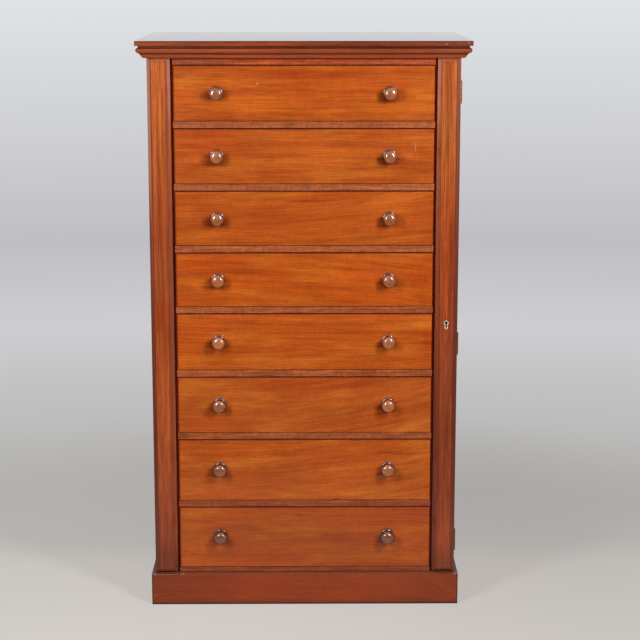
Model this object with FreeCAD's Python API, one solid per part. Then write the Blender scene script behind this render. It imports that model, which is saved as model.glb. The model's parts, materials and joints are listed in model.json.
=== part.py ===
"""Tall chest: graduated drawers between a fixed pilaster and a hinged locking stile.

Millimetres, +Z up, front towards -Y. The origin is on the floor, under the middle of the top board.
"""
import FreeCAD
import Part

import math
import os

V = FreeCAD.Vector

# Overall sizes
carcase_width = 634.0
carcase_depth = 430.5
slab_overhang = 21.5
slab_thickness = 10.0
slab_edge_round = 1.6

# Heights, from the floor up
plinth_height = 66.0
bottom_rail_height = 11.7
deep_opening_height = 134.0
middle_opening_height = 121.0
shallow_opening_height = 114.0
deep_count = 2
middle_count = 2
shallow_count = 4
rail_height = 13.5
top_rail_height = 13.9
cornice_height = 24.6

# Boards of the carcase
side_thickness = 20.0
carcase_top_thickness = 20.0
back_board_thickness = 8.0
back_board_count = 5
back_tongue_length = 5.0
back_tongue_thickness = 3.0
back_board_bevel = 1.5
board_fit = 0.2
housing_depth = 8.0
post_depth = 40.0
runner_bearing = 20.0
guide_height = 18.0
stop_length = 40.0
stop_depth = 16.0
stop_height = 4.0
stop_spread = 300.0
stop_gap = 0.3
tenon_length = 12.0
tenon_shoulder_height = 3.0
tenon_shoulder_depth = 6.0
rail_edge_bevel = 0.5

# Plinth
plinth_projection = 8.0
plinth_thickness = 31.0
plinth_corner_round = 2.5
block_leg = 40.0
block_height = 50.0

# Cornice moulding, as shares of the slab's overhang (outwards) and the cornice's height (downwards)
recess_out_share = 0.698
torus_top_share = 0.138
torus_out_share = 0.916
torus_middle_share = 0.358
torus_foot_out_share = 0.679
torus_foot_share = 0.577
cavetto_out_share = 0.500
cavetto_middle_share = 0.746
cavetto_foot_out_share = 0.379
cavetto_foot_share = 0.907
bevel_foot_out_share = 0.260

# Pilaster and locking stile
pilaster_width = 47.0
pilaster_thickness = 22.0
pilaster_proud = 7.0
groove_width = 4.5
border_fillet = 1.6
splay_width = 5.2
splay_height = 5.0
quirk_width = 1.7
quirk_depth = 1.5
face_bevel = 1.2
stile_end_gap = 1.0
stile_back_gap = 0.5

# Hinges of the locking stile
hinge_height_shares = (0.0619, 0.4554, 0.9364)
knuckle_radius = 3.2
knuckle_count = 3
knuckle_offset = 0.5
knuckle_gap = 0.3
knuckle_room = 0.4
pin_radius = 1.5
pin_clearance = 0.05
leaf_length = 47.0
leaf_width = 17.0
leaf_thickness = 2.0

# Lock, link plate and keyhole
keyhole_height_share = 0.4956
lock_edge = 5.0
lock_hinge_gap = 1.5
lock_height = 60.0
lock_depth = 11.0
lock_wall = 1.5
lock_face_thickness = 2.0
bolt_width = 4.0
bolt_thickness = 3.0
bolt_play = 0.5
bolt_throw = 8.0
link_thickness = 3.0
link_wall = 1.0
link_room = 0.75
link_side_wall = 1.75
link_offset = 3.5
link_arc_room = 2.0
link_slot_room = 1.0
link_top_room = 3.0
plate_width = 18.0
plate_thickness = 2.0
escutcheon_height = 18.0
escutcheon_radius = 4.75
escutcheon_tail_radius = 3.0
escutcheon_rim = 1.4
escutcheon_depth = 3.0

# Drawers
drawer_back_gap = 15.5
front_thickness = 20.0
front_edge_bevel = 0.6
box_side_thickness = 9.0
box_back_thickness = 9.0
panel_thickness = 6.0
panel_rise = 9.0
panel_groove_depth = 4.0
panel_fit = 0.2
gap_beside_drawer = 1.0
gap_above_front = 1.3
gap_below_front = 0.6
running_gap = 0.3
box_side_drop = 3.0
box_back_drop = 5.0
dovetail_lap = 6.0
dovetail_slope_share = 0.15
dovetail_pitch = 36.0
pin_width = 4.0
half_pin_width = 5.0

# Turned knobs
knob_spread = 352.0
knob_shift = -1.7
knob_rise_share = 0.15
knob_radius = 14.7
knob_projection = 28.0
knob_facets = 14
knob_radius_shares = (1.00, 0.94, 0.48, 0.44, 0.86, 0.74, 0.30)
knob_height_shares = (0.00, 0.12, 0.17, 0.46, 0.74, 0.91, 1.00)

# One overrun for all cuts
overrun = 5.0

# Places that follow from the sizes
half_width = carcase_width / 2
slab_half = half_width + slab_overhang
slab_depth = carcase_depth + slab_overhang
slab_front_y = -slab_depth / 2
back_y = slab_depth / 2
pilaster_front_y = slab_front_y + slab_overhang
drawer_front_y = pilaster_front_y + pilaster_proud
carcase_front_y = pilaster_front_y + pilaster_thickness
post_back_y = carcase_front_y + post_depth
back_inner_y = back_y - back_board_thickness
inner_half = half_width - side_thickness
pilaster_inner_x = half_width - pilaster_width
opening_half = pilaster_inner_x - groove_width
drawer_half = opening_half - gap_beside_drawer
drawer_back_y = back_inner_y - drawer_back_gap
plinth_half = half_width + plinth_projection
plinth_front_y = pilaster_front_y - plinth_projection
plinth_inner_half = plinth_half - plinth_thickness
plinth_back_y = plinth_front_y + plinth_thickness

opening_heights = (
    [shallow_opening_height] * shallow_count
    + [middle_opening_height] * middle_count
    + [deep_opening_height] * deep_count
)
floor_board_top = plinth_height + bottom_rail_height
openings = []
level = floor_board_top
for opening_height in reversed(opening_heights):
    openings.insert(0, (level, level + opening_height))
    level = level + opening_height + rail_height
top_rail_low = openings[0][1]
cornice_low = top_rail_low + top_rail_height
slab_low = cornice_low + cornice_height
slab_top = slab_low + slab_thickness
carcase_top_low = slab_low - carcase_top_thickness

stile_low = plinth_height + stile_end_gap
stile_high = cornice_low - stile_end_gap
stile_back_y = carcase_front_y - stile_back_gap
stile_middle_x = half_width - pilaster_width / 2
hinge_x = half_width + knuckle_offset
hinge_y = carcase_front_y - stile_back_gap / 2
keyhole_z = stile_low + (stile_high - stile_low) * keyhole_height_share
hinge_heights = [stile_low + (stile_high - stile_low) * share for share in hinge_height_shares]


# Basic shapes

def block(x, y, z):
    """Box between two limits on each axis."""
    return Part.makeBox(x[1] - x[0], y[1] - y[0], z[1] - z[0], V(x[0], y[0], z[0]))


def mirrored(shape):
    """Copy of a shape on the other side of the middle plane."""
    return shape.mirror(V(0, 0, 0), V(1, 0, 0))


def pair(shape):
    """A right-hand shape with its left-hand copy."""
    return [shape, mirrored(shape)]


def outline(start, *steps):
    """Face inside straight runs, each given by its end, and arcs, each given by a point on it and its end."""
    edges = []
    here = start
    for step in steps:
        if isinstance(step, tuple):
            through, end = step
            edges.append(Part.Arc(here, through, end).toShape())
        else:
            end = step
            edges.append(Part.LineSegment(here, end).toShape())
        here = end
    edges.append(Part.LineSegment(here, start).toShape())
    return Part.Face(Part.Wire(edges))


def edges_where(shape, test):
    """Edges whose two ends both pass a test."""
    return [edge for edge in shape.Edges if all(test(vertex.Point) for vertex in edge.Vertexes)]


def near(a, b):
    """True where two places are the same but for rounding."""
    return abs(a - b) < board_fit / 2


def cylinder_z(x, y, radius, z):
    """Upright cylinder between two heights."""
    return Part.makeCylinder(radius, z[1] - z[0], V(x, y, z[0]), V(0, 0, 1))


def save(node, solids):
    """Write the solids of one node to its own file."""
    shape = solids[0] if len(solids) == 1 else Part.makeCompound(solids)
    shape.exportStep(os.path.join("parts", node + ".step"))


# Plinth

def plinth_corner_waste():
    """What is rounded off the right front corner once the boards are mitred together."""
    centre_x = plinth_half - plinth_corner_round
    centre_y = plinth_front_y + plinth_corner_round
    z = (0, plinth_height)
    corner = block((centre_x, plinth_half), (plinth_front_y, centre_y), z)
    return corner.cut(cylinder_z(centre_x, centre_y, plinth_corner_round, z))


def plinth_front():
    """Front board with mitred ends and slightly rounded outer corners."""
    plan = outline(
        V(-plinth_half, plinth_front_y, 0),
        V(plinth_half, plinth_front_y, 0),
        V(plinth_inner_half, plinth_back_y, 0),
        V(-plinth_inner_half, plinth_back_y, 0),
    )
    board = plan.extrude(V(0, 0, plinth_height))
    for waste in pair(plinth_corner_waste()):
        board = board.cut(waste)
    return board


def plinth_side():
    """Right side board, mitred to the front board."""
    plan = outline(
        V(plinth_half, plinth_front_y, 0),
        V(plinth_half, back_y, 0),
        V(plinth_inner_half, back_y, 0),
        V(plinth_inner_half, plinth_back_y, 0),
    )
    return plan.extrude(V(0, 0, plinth_height)).cut(plinth_corner_waste())


def plinth_back():
    """Board between the two side boards at the back."""
    y = (back_y - plinth_thickness, back_y)
    return block((-plinth_inner_half, plinth_inner_half), y, (0, plinth_height))


def plinth_blocks():
    """Glue blocks in the four corners, level with the plinth's top."""
    blocks = []
    for y, inwards in ((plinth_back_y, 1), (back_y - plinth_thickness, -1)):
        low = plinth_height - block_height
        plan = outline(
            V(plinth_inner_half, y, low),
            V(plinth_inner_half - block_leg, y, low),
            V(plinth_inner_half, y + inwards * block_leg, low),
        )
        blocks += pair(plan.extrude(V(0, 0, block_height)))
    return blocks


# Carcase

def carcase_side():
    """Right side board, rebated for the back boards and housed for the bottom board."""
    board = block((inner_half, half_width), (carcase_front_y, back_y), (plinth_height, slab_low))
    rebate = block(
        (inner_half - overrun, inner_half + housing_depth),
        (back_inner_y, back_y + overrun),
        (plinth_height - overrun, slab_low + overrun),
    )
    housing = block(
        (inner_half - overrun, inner_half + housing_depth),
        (carcase_front_y - overrun, back_inner_y),
        (plinth_height - overrun, floor_board_top),
    )
    return board.cut(rebate).cut(housing)


def right_carcase_side():
    """Right side board with the hinge recesses in its front edge."""
    board = carcase_side()
    for z in hinge_heights:
        board = board.cut(leaf_recess(z, carcase_front_y, carcase_front_y + leaf_thickness))
        board = board.cut(knuckle_room_at(z))
    return board


def bottom_board():
    """Floor of the carcase, housed in both sides."""
    half = inner_half + housing_depth
    return block((-half, half), (carcase_front_y, back_inner_y), (plinth_height, floor_board_top))


def carcase_top():
    """Inner top board between the sides, under the slab."""
    return block((-inner_half, inner_half), (carcase_front_y, back_inner_y), (carcase_top_low, slab_low))


def back_boards():
    """Upright tongued and grooved boards in the rebates of the sides."""
    half = inner_half + housing_depth
    pitch = 2 * half / back_board_count
    boards = []
    for index in range(back_board_count):
        left = -half + index * pitch
        right = left + pitch
        board = block((left, right), (back_inner_y, back_y), (plinth_height, slab_low))
        joints = [x for x in (left, right) if not near(abs(x), half)]
        rear = edges_where(board, lambda p: near(p.y, back_y) and any(near(p.x, x) for x in joints))
        board = board.makeChamfer(back_board_bevel, rear)
        middle_y = (back_inner_y + back_y) / 2
        tongue_y = (middle_y - back_tongue_thickness / 2, middle_y + back_tongue_thickness / 2)
        if index > 0:
            groove = block(
                (left - overrun, left + back_tongue_length + board_fit),
                (tongue_y[0] - board_fit, tongue_y[1] + board_fit),
                (plinth_height - overrun, slab_low + overrun),
            )
            board = board.cut(groove)
        if index < back_board_count - 1:
            tongue = block((right, right + back_tongue_length), tongue_y, (plinth_height, slab_low))
            board = board.fuse(tongue).removeSplitter()
        boards.append(board)
    return boards


def frieze_rail():
    """Rail behind the cornice, across the fronts of both sides."""
    return block((-half_width, half_width), (drawer_front_y, carcase_front_y), (cornice_low, slab_low))


def slab():
    """Thin top board with eased edges at the front and ends."""
    board = block((-slab_half, slab_half), (slab_front_y, back_y), (slab_low, slab_top))
    front_and_ends = [
        edge
        for edge in edges_where(board, lambda p: near(abs(p.x), slab_half) or near(p.y, slab_front_y))
        if near(edge.Vertexes[0].Z, edge.Vertexes[1].Z) and not all(near(v.Y, back_y) for v in edge.Vertexes)
    ]
    return board.makeFillet(slab_edge_round, front_and_ends)


def cornice_section(place):
    """Torus over a cavetto and a bevel; place turns an outward and a downward share into a point."""
    return outline(
        place(0, 0),
        place(recess_out_share, 0),
        place(recess_out_share, torus_top_share),
        (place(torus_out_share, torus_middle_share), place(torus_foot_out_share, torus_foot_share)),
        (place(cavetto_out_share, cavetto_middle_share), place(cavetto_foot_out_share, cavetto_foot_share)),
        place(bevel_foot_out_share, 1),
        place(0, 1),
    )


def cornice_front():
    """Front length of the cornice, mitred at both ends, with its back on the frieze rail."""
    def place(out, down):
        return V(-slab_half, pilaster_front_y - out * slab_overhang, slab_low - down * cornice_height)

    length = cornice_section(place).extrude(V(2 * slab_half, 0, 0))
    backing = block((-half_width, half_width), (pilaster_front_y, drawer_front_y), (cornice_low, slab_low))
    plan = outline(
        V(-slab_half, slab_front_y, cornice_low),
        V(slab_half, slab_front_y, cornice_low),
        V(half_width, pilaster_front_y, cornice_low),
        V(-half_width, pilaster_front_y, cornice_low),
    )
    return length.common(plan.extrude(V(0, 0, cornice_height))).fuse(backing).removeSplitter()


def cornice_return():
    """Right-hand length of the cornice, mitred at the front, on the outer face of the side."""
    def place(out, down):
        return V(half_width + out * slab_overhang, slab_front_y, slab_low - down * cornice_height)

    length = cornice_section(place).extrude(V(0, slab_depth, 0))
    plan = outline(
        V(slab_half, slab_front_y, cornice_low),
        V(slab_half, back_y, cornice_low),
        V(half_width, back_y, cornice_low),
        V(half_width, pilaster_front_y, cornice_low),
    )
    return length.common(plan.extrude(V(0, 0, cornice_height)))


# Drawer rails, runners, guides and stops

def rail(z):
    """One rail across the front, with a tenon at each end."""
    body = block((-opening_half, opening_half), (drawer_front_y, post_back_y), z)
    arrises = edges_where(body, lambda p: near(p.y, drawer_front_y))
    long_arrises = [edge for edge in arrises if near(edge.Vertexes[0].Z, edge.Vertexes[1].Z)]
    return body.makeChamfer(rail_edge_bevel, long_arrises).fuse(rail_tenons(z)).removeSplitter()


def rail_tenons(z):
    """The two tenons of a rail, drawn as one bar through it."""
    return block(
        (-opening_half - tenon_length, opening_half + tenon_length),
        (carcase_front_y + tenon_shoulder_depth, post_back_y - tenon_shoulder_depth),
        (z[0] + tenon_shoulder_height, z[1] - tenon_shoulder_height),
    )


def rail_levels():
    """Lower and upper height of each tenoned rail, from the top down."""
    levels = [(top_rail_low, cornice_low)]
    for opening in openings[:-1]:
        levels.append((opening[0] - rail_height, opening[0]))
    return levels


def drawer_rails():
    """Top rail, rails between drawers, and the facing in front of the bottom board."""
    facing_z = (plinth_height, floor_board_top)
    facing = block((-opening_half, opening_half), (drawer_front_y, carcase_front_y), facing_z)
    return [rail(z) for z in rail_levels()] + [facing]


def front_post():
    """Right-hand post behind the stile, mortised for the rails."""
    height = (floor_board_top, carcase_top_low)
    post = block((opening_half, inner_half), (carcase_front_y, post_back_y), height)
    for z in rail_levels():
        post = post.cut(rail_tenons(z))
    return post


def drawer_runners():
    """Runners behind the rails; the top pair keeps the top drawer from tipping."""
    runners = []
    for z in rail_levels():
        runners += pair(block((opening_half - runner_bearing, inner_half), (post_back_y, back_inner_y), z))
    return runners


def drawer_guides():
    """Strips on the runners that fill the width behind the posts."""
    guides = []
    for opening in openings:
        z = (opening[0], opening[0] + guide_height)
        guides += pair(block((opening_half, inner_half), (post_back_y, back_inner_y), z))
    return guides


def drawer_stops():
    """Small blocks on the rails, just behind the drawer fronts."""
    front = drawer_front_y + front_thickness + stop_gap
    middle = stop_spread / 2
    x = (middle - stop_length / 2, middle + stop_length / 2)
    stops = []
    for opening in openings:
        z = (opening[0], opening[0] + stop_height)
        stops += pair(block(x, (front, front + stop_depth), z))
    return stops


# Pilaster and locking stile

def moulded_section(low, high, back, place):
    """Section with a splay and a quirk along both edges; place turns a position and a drop into a point."""
    edge_drop = quirk_depth + splay_height
    splay_end = border_fillet + splay_width
    quirk_end = splay_end + quirk_width
    return outline(
        place(low, back),
        place(low, edge_drop),
        place(low + border_fillet, edge_drop),
        place(low + splay_end, quirk_depth),
        place(low + quirk_end, quirk_depth),
        place(low + quirk_end, face_bevel),
        place(low + quirk_end + face_bevel, 0),
        place(high - quirk_end - face_bevel, 0),
        place(high - quirk_end, face_bevel),
        place(high - quirk_end, quirk_depth),
        place(high - splay_end, quirk_depth),
        place(high - border_fillet, edge_drop),
        place(high, edge_drop),
        place(high, back),
    )


def moulded_board(x, back_plane_y, z):
    """Upright board whose front has the moulding on all four edges, mitred at the corners."""
    back = back_plane_y - pilaster_front_y
    across = moulded_section(x[0], x[1], back, lambda u, drop: V(u, pilaster_front_y + drop, z[0]))
    upright = moulded_section(z[0], z[1], back, lambda u, drop: V(x[0], pilaster_front_y + drop, u))
    return across.extrude(V(0, 0, z[1] - z[0])).common(upright.extrude(V(x[1] - x[0], 0, 0)))


def left_pilaster():
    """Fixed pilaster on the left."""
    return moulded_board((-half_width, -pilaster_inner_x), carcase_front_y, (plinth_height, cornice_low))


def locking_stile():
    """Hinged stile, cut for its hinge leaves, lock case, keyhole and escutcheon."""
    stile = moulded_board((pilaster_inner_x, half_width), stile_back_y, (stile_low, stile_high))
    for z in hinge_heights:
        stile = stile.cut(leaf_recess(z, stile_back_y - leaf_thickness, stile_back_y))
        stile = stile.cut(knuckle_room_at(z))
    stile = stile.cut(lock_block())
    stile = stile.cut(keyhole_prism(0, pilaster_front_y - overrun, pilaster_front_y + escutcheon_depth))
    return stile.cut(key_slot(pilaster_front_y, lock_y[1] - lock_depth))


# Hinges

def leaf_span(z):
    """Lower and upper end of a hinge leaf."""
    return (z - leaf_length / 2, z + leaf_length / 2)


def leaf_recess(z, front, back):
    """Room for one leaf, let in flush."""
    return block((hinge_x - leaf_width, hinge_x + knuckle_offset), (front, back), leaf_span(z))


def knuckle_room_at(z):
    """Round room for the barrel of one hinge."""
    low, high = leaf_span(z)
    ends = (low - knuckle_room, high + knuckle_room)
    return cylinder_z(hinge_x, hinge_y, knuckle_radius + knuckle_room, ends)


def hinge_leaf(z, front, back, first):
    """One leaf with every second knuckle, starting from the first or the second."""
    low, high = leaf_span(z)
    plate_end = hinge_x - knuckle_radius - knuckle_room
    leaf = block((hinge_x - leaf_width, plate_end), (front, back), (low, high))
    pitch = leaf_length / knuckle_count
    for index in range(first, knuckle_count, 2):
        span = (low + index * pitch + knuckle_gap / 2, low + (index + 1) * pitch - knuckle_gap / 2)
        knuckle = cylinder_z(hinge_x, hinge_y, knuckle_radius, span)
        leaf = leaf.fuse(block((plate_end, hinge_x), (front, back), span)).fuse(knuckle)
    bore = cylinder_z(hinge_x, hinge_y, pin_radius + pin_clearance, (low - overrun, high + overrun))
    return leaf.removeSplitter().cut(bore)


def hinge_carcase_leaves():
    """The three leaves on the carcase, each with the two outer knuckles."""
    return [hinge_leaf(z, carcase_front_y, carcase_front_y + leaf_thickness, 0) for z in hinge_heights]


def hinge_stile_leaves():
    """The three leaves on the stile, each with the knuckle in between."""
    return [hinge_leaf(z, stile_back_y - leaf_thickness, stile_back_y, 1) for z in hinge_heights]


def hinge_pins():
    """One pin through each barrel."""
    return [cylinder_z(hinge_x, hinge_y, pin_radius, leaf_span(z)) for z in hinge_heights]


# Lock

lock_x = (pilaster_inner_x + lock_edge, hinge_x - leaf_width - lock_hinge_gap)
lock_y = (stile_back_y - lock_depth, stile_back_y)
lock_z = (keyhole_z - lock_height / 2, keyhole_z + lock_height / 2)
cavity_x = (lock_x[0] + lock_wall, lock_x[1] - lock_wall)
cavity_y = (lock_y[0] + lock_wall, lock_y[1] - lock_face_thickness)
cavity_z = (lock_z[0] + lock_wall, lock_z[1] - lock_wall)
bolt_low = cavity_z[0] + bolt_play
bolt_middle_y = (cavity_y[0] + cavity_y[1]) / 2
bolt_y = (bolt_middle_y - bolt_thickness / 2, bolt_middle_y + bolt_thickness / 2)
spine_x = (cavity_x[0] + bolt_play, cavity_x[0] + bolt_play + bolt_width)
finger_middle_x = stile_middle_x - link_offset
finger_x = (finger_middle_x - bolt_width / 2, finger_middle_x + bolt_width / 2)
finger_length = bolt_throw - bolt_play
top_finger_low = cavity_z[1] - link_top_room - bolt_throw - finger_length - bolt_width
finger_lows = (bolt_low, top_finger_low)
link_lows = [low + bolt_width + finger_length + link_slot_room for low in finger_lows]
link_half = bolt_width / 2 + link_room + link_side_wall


def lock_block():
    """Outer form of the lock case, which is also its pocket in the stile."""
    return block(lock_x, lock_y, lock_z)


def lock_case():
    """Hollow case with a keyhole in front and two slots for the links at the back."""
    case = lock_block().cut(block(cavity_x, cavity_y, cavity_z))
    for low in link_lows:
        slot = block(
            (finger_middle_x - link_half - link_arc_room, finger_middle_x + link_half + link_slot_room),
            (cavity_y[1] - bolt_play, lock_y[1] + overrun),
            (low - link_slot_room, low + link_thickness + link_slot_room),
        )
        case = case.cut(slot)
    return case.cut(key_slot(lock_y[0] - overrun, cavity_y[0]))


def lock_bolt():
    """Comb-shaped bolt, drawn back: its two fingers stand just under the links."""
    top = finger_lows[-1] + bolt_width
    bolt = block(spine_x, bolt_y, (bolt_low, top))
    for low in finger_lows:
        arm = block((spine_x[0], finger_x[1]), bolt_y, (low, low + bolt_width))
        finger = block(finger_x, bolt_y, (low, low + bolt_width + finger_length))
        bolt = bolt.fuse(arm).fuse(finger)
    return bolt.removeSplitter()


def plate_block():
    """Outer form of the link plate's flat, which is also its recess in the post."""
    x = (inner_half - plate_width, inner_half)
    return block(x, (carcase_front_y, carcase_front_y + plate_thickness), lock_z)


def link_plate():
    """Plate on the post with two links that reach into the lock case."""
    plate = plate_block()
    hole_y = (bolt_y[0] - bolt_play, bolt_y[1] + bolt_play)
    link_x = (finger_middle_x - link_half, finger_middle_x + link_half)
    hole_x = (finger_x[0] - link_room, finger_x[1] + link_room)
    for low in link_lows:
        high = low + link_thickness
        link = block(link_x, (hole_y[0] - link_wall, carcase_front_y), (low, high))
        hole = block(hole_x, hole_y, (low - overrun, high + overrun))
        plate = plate.fuse(link.cut(hole))
    return plate.removeSplitter()


def keyhole_prism(inset, front, back):
    """Keyhole-shaped bar: a round head over a tapering tail, inset from the escutcheon's outline."""
    head = escutcheon_radius - inset
    tail = escutcheon_tail_radius - inset
    head_z = keyhole_z + escutcheon_height / 2 - escutcheon_radius
    foot_z = keyhole_z - escutcheon_height / 2 + inset
    x = stile_middle_x
    shape = outline(
        V(x - tail, front, head_z),
        V(x + tail, front, head_z),
        V(x + tail, front, foot_z + tail),
        (V(x, front, foot_z), V(x - tail, front, foot_z + tail)),
    ).extrude(V(0, back - front, 0))
    disc = Part.makeCylinder(head, back - front, V(x, front, head_z), V(0, 1, 0))
    return shape.fuse(disc).removeSplitter()


def key_slot(front, back):
    """Plain slot for the key behind the escutcheon, into the lock case."""
    half = escutcheon_tail_radius - escutcheon_rim
    reach = escutcheon_height / 2 - escutcheon_rim
    x = (stile_middle_x - half, stile_middle_x + half)
    return block(x, (front, back), (keyhole_z - reach, keyhole_z + reach))


def keyhole_escutcheon():
    """Brass keyhole rim let in flush with the stile's face."""
    front = pilaster_front_y
    rim = keyhole_prism(0, front, front + escutcheon_depth)
    return rim.cut(keyhole_prism(escutcheon_rim, front - overrun, front + escutcheon_depth + overrun))


# Drawers

def pin_gaps(z, end, base, x):
    """Spaces for the pins in a side board's end, which leave the tails standing."""
    count = int((z[1] - z[0]) // dovetail_pitch)
    widening = abs(base - end) * dovetail_slope_share
    pitch = (z[1] - z[0] - 2 * half_pin_width + pin_width) / count
    gaps = []
    for index in range(count + 1):
        middle = z[0] + half_pin_width - pin_width / 2 + index * pitch
        low = middle - pin_width / 2
        high = middle + pin_width / 2
        if index == 0:
            low = z[0] - overrun
        if index == count:
            high = z[1] + overrun
        face = outline(
            V(x[0], end, low),
            V(x[0], base, low - widening),
            V(x[0], base, high + widening),
            V(x[0], end, high),
        )
        gaps.append(face.extrude(V(x[1] - x[0], 0, 0)))
    return gaps


def box_side(opening):
    """Right side of a drawer with tails at both ends and a groove for the bottom panel."""
    x = (drawer_half - box_side_thickness, drawer_half)
    z = (opening[0] + running_gap, opening[1] - box_side_drop)
    front_end = drawer_front_y + dovetail_lap
    board = block(x, (front_end, drawer_back_y), z)
    for gap in pin_gaps(z, front_end, drawer_front_y + front_thickness, x):
        board = board.cut(gap)
    for gap in pin_gaps(z, drawer_back_y, drawer_back_y - box_back_thickness, x):
        board = board.cut(gap)
    return board


def panel_space(opening, fit):
    """Bottom panel of a drawer, or with a fit the grooves that hold it."""
    half = drawer_half - box_side_thickness + panel_groove_depth
    low = opening[0] + running_gap + panel_rise
    front = drawer_front_y + front_thickness - panel_groove_depth
    y = (front - fit, drawer_back_y)
    return block((-half - fit, half + fit), y, (low, low + panel_thickness))


def knob_places(opening):
    """Centres of the two knobs on the face of a drawer, a little above the middle of a deeper one."""
    extra_height = opening[1] - opening[0] - shallow_opening_height
    z = (opening[0] + opening[1]) / 2 + knob_rise_share * extra_height
    return [V(knob_shift + side * knob_spread / 2, drawer_front_y, z) for side in (-1, 1)]


def drawer_front(opening):
    """Drawer front with eased edges, half-blind sockets and a groove for the bottom panel."""
    front = block(
        (-drawer_half, drawer_half),
        (drawer_front_y, drawer_front_y + front_thickness),
        (opening[0] + gap_below_front, opening[1] - gap_above_front),
    )
    front = front.makeChamfer(front_edge_bevel, edges_where(front, lambda p: near(p.y, drawer_front_y)))
    for side in pair(box_side(opening)):
        front = front.cut(side)
    return front.cut(panel_space(opening, panel_fit))


def drawer_box(opening):
    """Two sides and a back, dovetailed together."""
    sides = pair(box_side(opening))
    panel_top = opening[0] + running_gap + panel_rise + panel_thickness
    back = block(
        (-drawer_half, drawer_half),
        (drawer_back_y - box_back_thickness, drawer_back_y),
        (panel_top, opening[1] - box_side_drop - box_back_drop),
    )
    for side in sides:
        back = back.cut(side)
    groove = panel_space(opening, panel_fit)
    return [side.cut(groove) for side in sides] + [back]


def knob_ring(place, radius, out):
    """Corners of a many-sided ring round a knob's axis, at one distance from the drawer's face."""
    turns = [2 * math.pi * index / knob_facets for index in range(knob_facets)]
    return [place + V(radius * math.cos(turn), -out, radius * math.sin(turn)) for turn in turns]


def facet(corners):
    """Flat face with the given corners."""
    return Part.Face(Part.makePolygon(corners + corners[:1]))


def knob(place):
    """Turned knob on the face of the drawer front: a collar, a slim neck and a flattened head."""
    rings = []
    for radius_share, height_share in zip(knob_radius_shares, knob_height_shares):
        rings.append(knob_ring(place, knob_radius * radius_share, knob_projection * height_share))
    facets = [facet(rings[0]), facet(rings[-1])]
    for lower, upper in zip(rings, rings[1:]):
        for index in range(knob_facets):
            before = index - 1
            facets.append(facet([lower[before], lower[index], upper[index], upper[before]]))
    return Part.Solid(Part.makeShell(facets))


def save_drawer(number, opening):
    """Write the nodes of one drawer."""
    name = "drawer_" + str(number)
    save(name + "_front", [drawer_front(opening)])
    save(name + "_box", drawer_box(opening))
    save(name + "_bottom", [panel_space(opening, 0)])
    save(name + "_knobs", [knob(place) for place in knob_places(opening)])


# Files

os.makedirs("parts", exist_ok=True)

save("plinth_front", [plinth_front()])
save("plinth_sides", pair(plinth_side()))
save("plinth_back", [plinth_back()])
save("plinth_blocks", plinth_blocks())
save("bottom_board", [bottom_board()])
save("left_side", [mirrored(carcase_side())])
save("right_side", [right_carcase_side()])
save("carcase_top", [carcase_top()])
save("back_boards", back_boards())
save("frieze_rail", [frieze_rail()])
save("cornice_front", [cornice_front()])
save("cornice_returns", pair(cornice_return()))
save("top_board", [slab()])
save("left_pilaster", [left_pilaster()])
save("front_posts", [front_post().cut(plate_block()), mirrored(front_post())])
save("drawer_rails", drawer_rails())
save("drawer_runners", drawer_runners())
save("drawer_guides", drawer_guides())
save("drawer_stops", drawer_stops())
save("link_plate", [link_plate()])
save("hinge_carcase_leaves", hinge_carcase_leaves())
save("hinge_pins", hinge_pins())
save("locking_stile", [locking_stile()])
save("hinge_stile_leaves", hinge_stile_leaves())
save("lock_case", [lock_case()])
save("lock_bolt", [lock_bolt()])
save("keyhole_escutcheon", [keyhole_escutcheon()])
for drawer_number, drawer_opening in enumerate(openings, start=1):
    save_drawer(drawer_number, drawer_opening)
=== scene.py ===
"""Looks of a tall mahogany chest of drawers with a hinged locking stile.

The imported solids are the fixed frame. Boards keep their solids and get timber with a grain of their own,
curved mouldings and hinges are smoothed copies, and the knobs, screws and nails are made here.
Metres, front towards -Y.
"""
from __future__ import annotations

import json
import logging
import math
from collections.abc import Sequence
from dataclasses import dataclass, field, replace
from enum import Enum
from functools import cache

import bmesh
import bpy
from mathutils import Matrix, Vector

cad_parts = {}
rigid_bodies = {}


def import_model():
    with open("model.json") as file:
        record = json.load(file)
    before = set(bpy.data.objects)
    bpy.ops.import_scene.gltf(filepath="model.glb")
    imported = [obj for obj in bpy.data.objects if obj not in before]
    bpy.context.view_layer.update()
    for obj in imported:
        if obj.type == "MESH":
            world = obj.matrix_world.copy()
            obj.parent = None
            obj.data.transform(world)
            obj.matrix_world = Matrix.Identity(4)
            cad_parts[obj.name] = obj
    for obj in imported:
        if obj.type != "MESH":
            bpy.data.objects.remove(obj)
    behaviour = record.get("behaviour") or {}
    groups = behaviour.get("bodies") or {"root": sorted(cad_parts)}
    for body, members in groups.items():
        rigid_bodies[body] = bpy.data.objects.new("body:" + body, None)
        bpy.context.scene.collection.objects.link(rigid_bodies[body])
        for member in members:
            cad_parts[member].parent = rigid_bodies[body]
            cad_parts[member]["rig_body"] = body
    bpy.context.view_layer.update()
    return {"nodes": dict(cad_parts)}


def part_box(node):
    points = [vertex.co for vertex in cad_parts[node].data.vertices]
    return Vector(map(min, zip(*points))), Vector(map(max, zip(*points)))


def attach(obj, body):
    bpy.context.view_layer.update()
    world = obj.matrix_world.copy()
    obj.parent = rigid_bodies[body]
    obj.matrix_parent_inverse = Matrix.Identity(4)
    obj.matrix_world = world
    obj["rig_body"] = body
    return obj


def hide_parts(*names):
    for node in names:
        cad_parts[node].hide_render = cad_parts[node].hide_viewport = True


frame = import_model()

log = logging.getLogger("chest")

Colour = tuple[float, float, float]
Point = tuple[float, float, float]
Span = tuple[float, float]
Ring = tuple[float, float]
Socket = bpy.types.NodeSocket

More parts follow.
